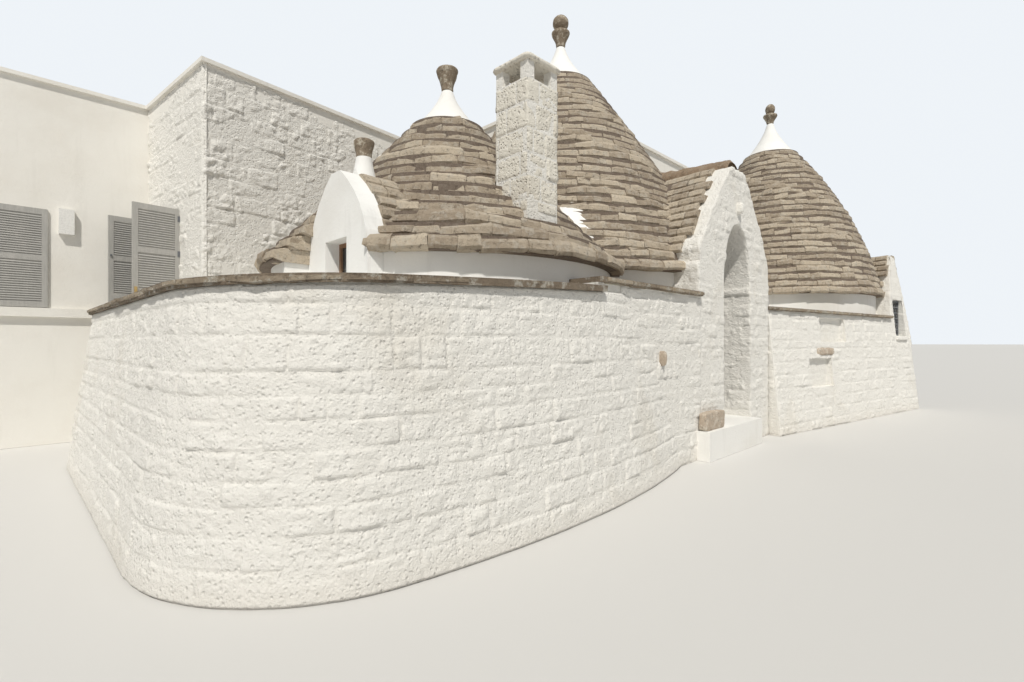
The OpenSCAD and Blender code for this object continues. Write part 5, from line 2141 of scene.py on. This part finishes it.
@dataclass(frozen=True)
class Studio:
    """Pale floor, soft lights, and the camera at the photograph's place and angle."""

    floor_size: float = 1600
    floor_height: float = -0.003
    floor_colour: Colour = (0.64, 0.63, 0.61)
    floor_roughness: float = 0.9
    sky_light: Colour = (0.90, 0.95, 1.0)
    sky_strength: float = 0.30
    sky_seen: Colour = (0.86, 0.90, 0.94)
    sun_strength: float = 3.0
    sun_size: float = math.radians(2.5)
    sun_colour: Colour = (1.0, 0.965, 0.90)
    sun_turn: tuple[float, float, float] = (math.radians(37), 0, math.radians(-46))
    eye: tuple[float, float, float] = (-8.12, -3.15, 1.6)
    view_turn: tuple[float, float, float] = (math.pi / 2, 0, math.radians(-45))
    lens: float = 18.0
    film: float = 36.0
    shift: float = 0.002
    far: float = 2000

    def floor(self) -> None:
        """The floor."""
        make = Shader("studio_floor")
        make.surface.inputs["Base Color"].default_value = (*self.floor_colour, 1)
        make.surface.inputs["Roughness"].default_value = self.floor_roughness
        bpy.ops.mesh.primitive_plane_add(size=self.floor_size, location=(0, 0, self.floor_height))
        floor = bpy.context.object
        floor.name = "floor"
        floor.data.materials.append(make.material)

    def sky(self) -> None:
        """A soft even light from all sides, which cameras, mirrors and glass see as a pale background."""
        world = bpy.data.worlds.new("soft_room")
        world.use_nodes = True
        tree = world.node_tree
        light = tree.nodes["Background"]
        light.inputs["Color"].default_value = (*self.sky_light, 1)
        light.inputs["Strength"].default_value = self.sky_strength
        seen = tree.nodes.new("ShaderNodeBackground")
        seen.inputs["Color"].default_value = (*self.sky_seen, 1)
        path, mix = tree.nodes.new("ShaderNodeLightPath"), tree.nodes.new("ShaderNodeMixShader")
        seeing = path.outputs["Is Camera Ray"]
        for ray in ("Is Glossy Ray", "Is Transmission Ray"):
            either = tree.nodes.new("ShaderNodeMath")
            either.operation = "MAXIMUM"
            tree.links.new(seeing, either.inputs[0])
            tree.links.new(path.outputs[ray], either.inputs[1])
            seeing = either.outputs[0]
        tree.links.new(seeing, mix.inputs[0])
        tree.links.new(light.outputs[0], mix.inputs[1])
        tree.links.new(seen.outputs[0], mix.inputs[2])
        tree.links.new(mix.outputs[0], tree.nodes["World Output"].inputs["Surface"])
        bpy.context.scene.world = world

    def sun(self) -> None:
        """One wide, warm sun from the left front."""
        sun = bpy.data.objects.new("key", bpy.data.lights.new("key", "SUN"))
        sun.data.energy = self.sun_strength
        sun.data.angle = self.sun_size
        sun.data.color = self.sun_colour
        sun.rotation_euler = self.sun_turn
        bpy.context.scene.collection.objects.link(sun)

    def camera(self) -> None:
        """The photograph's camera."""
        lens = bpy.data.cameras.new("camera")
        lens.lens, lens.sensor_width, lens.shift_y = self.lens, self.film, self.shift
        lens.clip_end = self.far
        camera = bpy.data.objects.new("camera", lens)
        camera.location = self.eye
        camera.rotation_euler = self.view_turn
        bpy.context.scene.collection.objects.link(camera)
        bpy.context.scene.camera = camera

    def build(self) -> None:
        """Sets up floor, lights, camera and the plain view transform."""
        self.floor()
        self.sky()
        self.sun()
        self.camera()
        bpy.context.scene.view_settings.view_transform = "Standard"


def main() -> None:
    """Builds the whole scene in order."""
    logging.basicConfig(level=logging.INFO, format="%(name)s %(message)s")
    finishes = Finishes()
    dress_solids(finishes)
    Roofs(finishes).build()
    for walls in (TerraceWall, StraightWalls, EntranceGable, WindowGable, TallBlock):
        walls(finishes.lime).build()
    Chimney(finishes.chimney).build()
    ValleyPatch(finishes.white).build()
    Copings(finishes.coping).build()
    Joinery(finishes).build()
    Ornaments(finishes).build()
    for stone in SINGLE_STONES:
        stone.build(finishes)
    Studio().build()


if __name__ == "__main__":
    main()
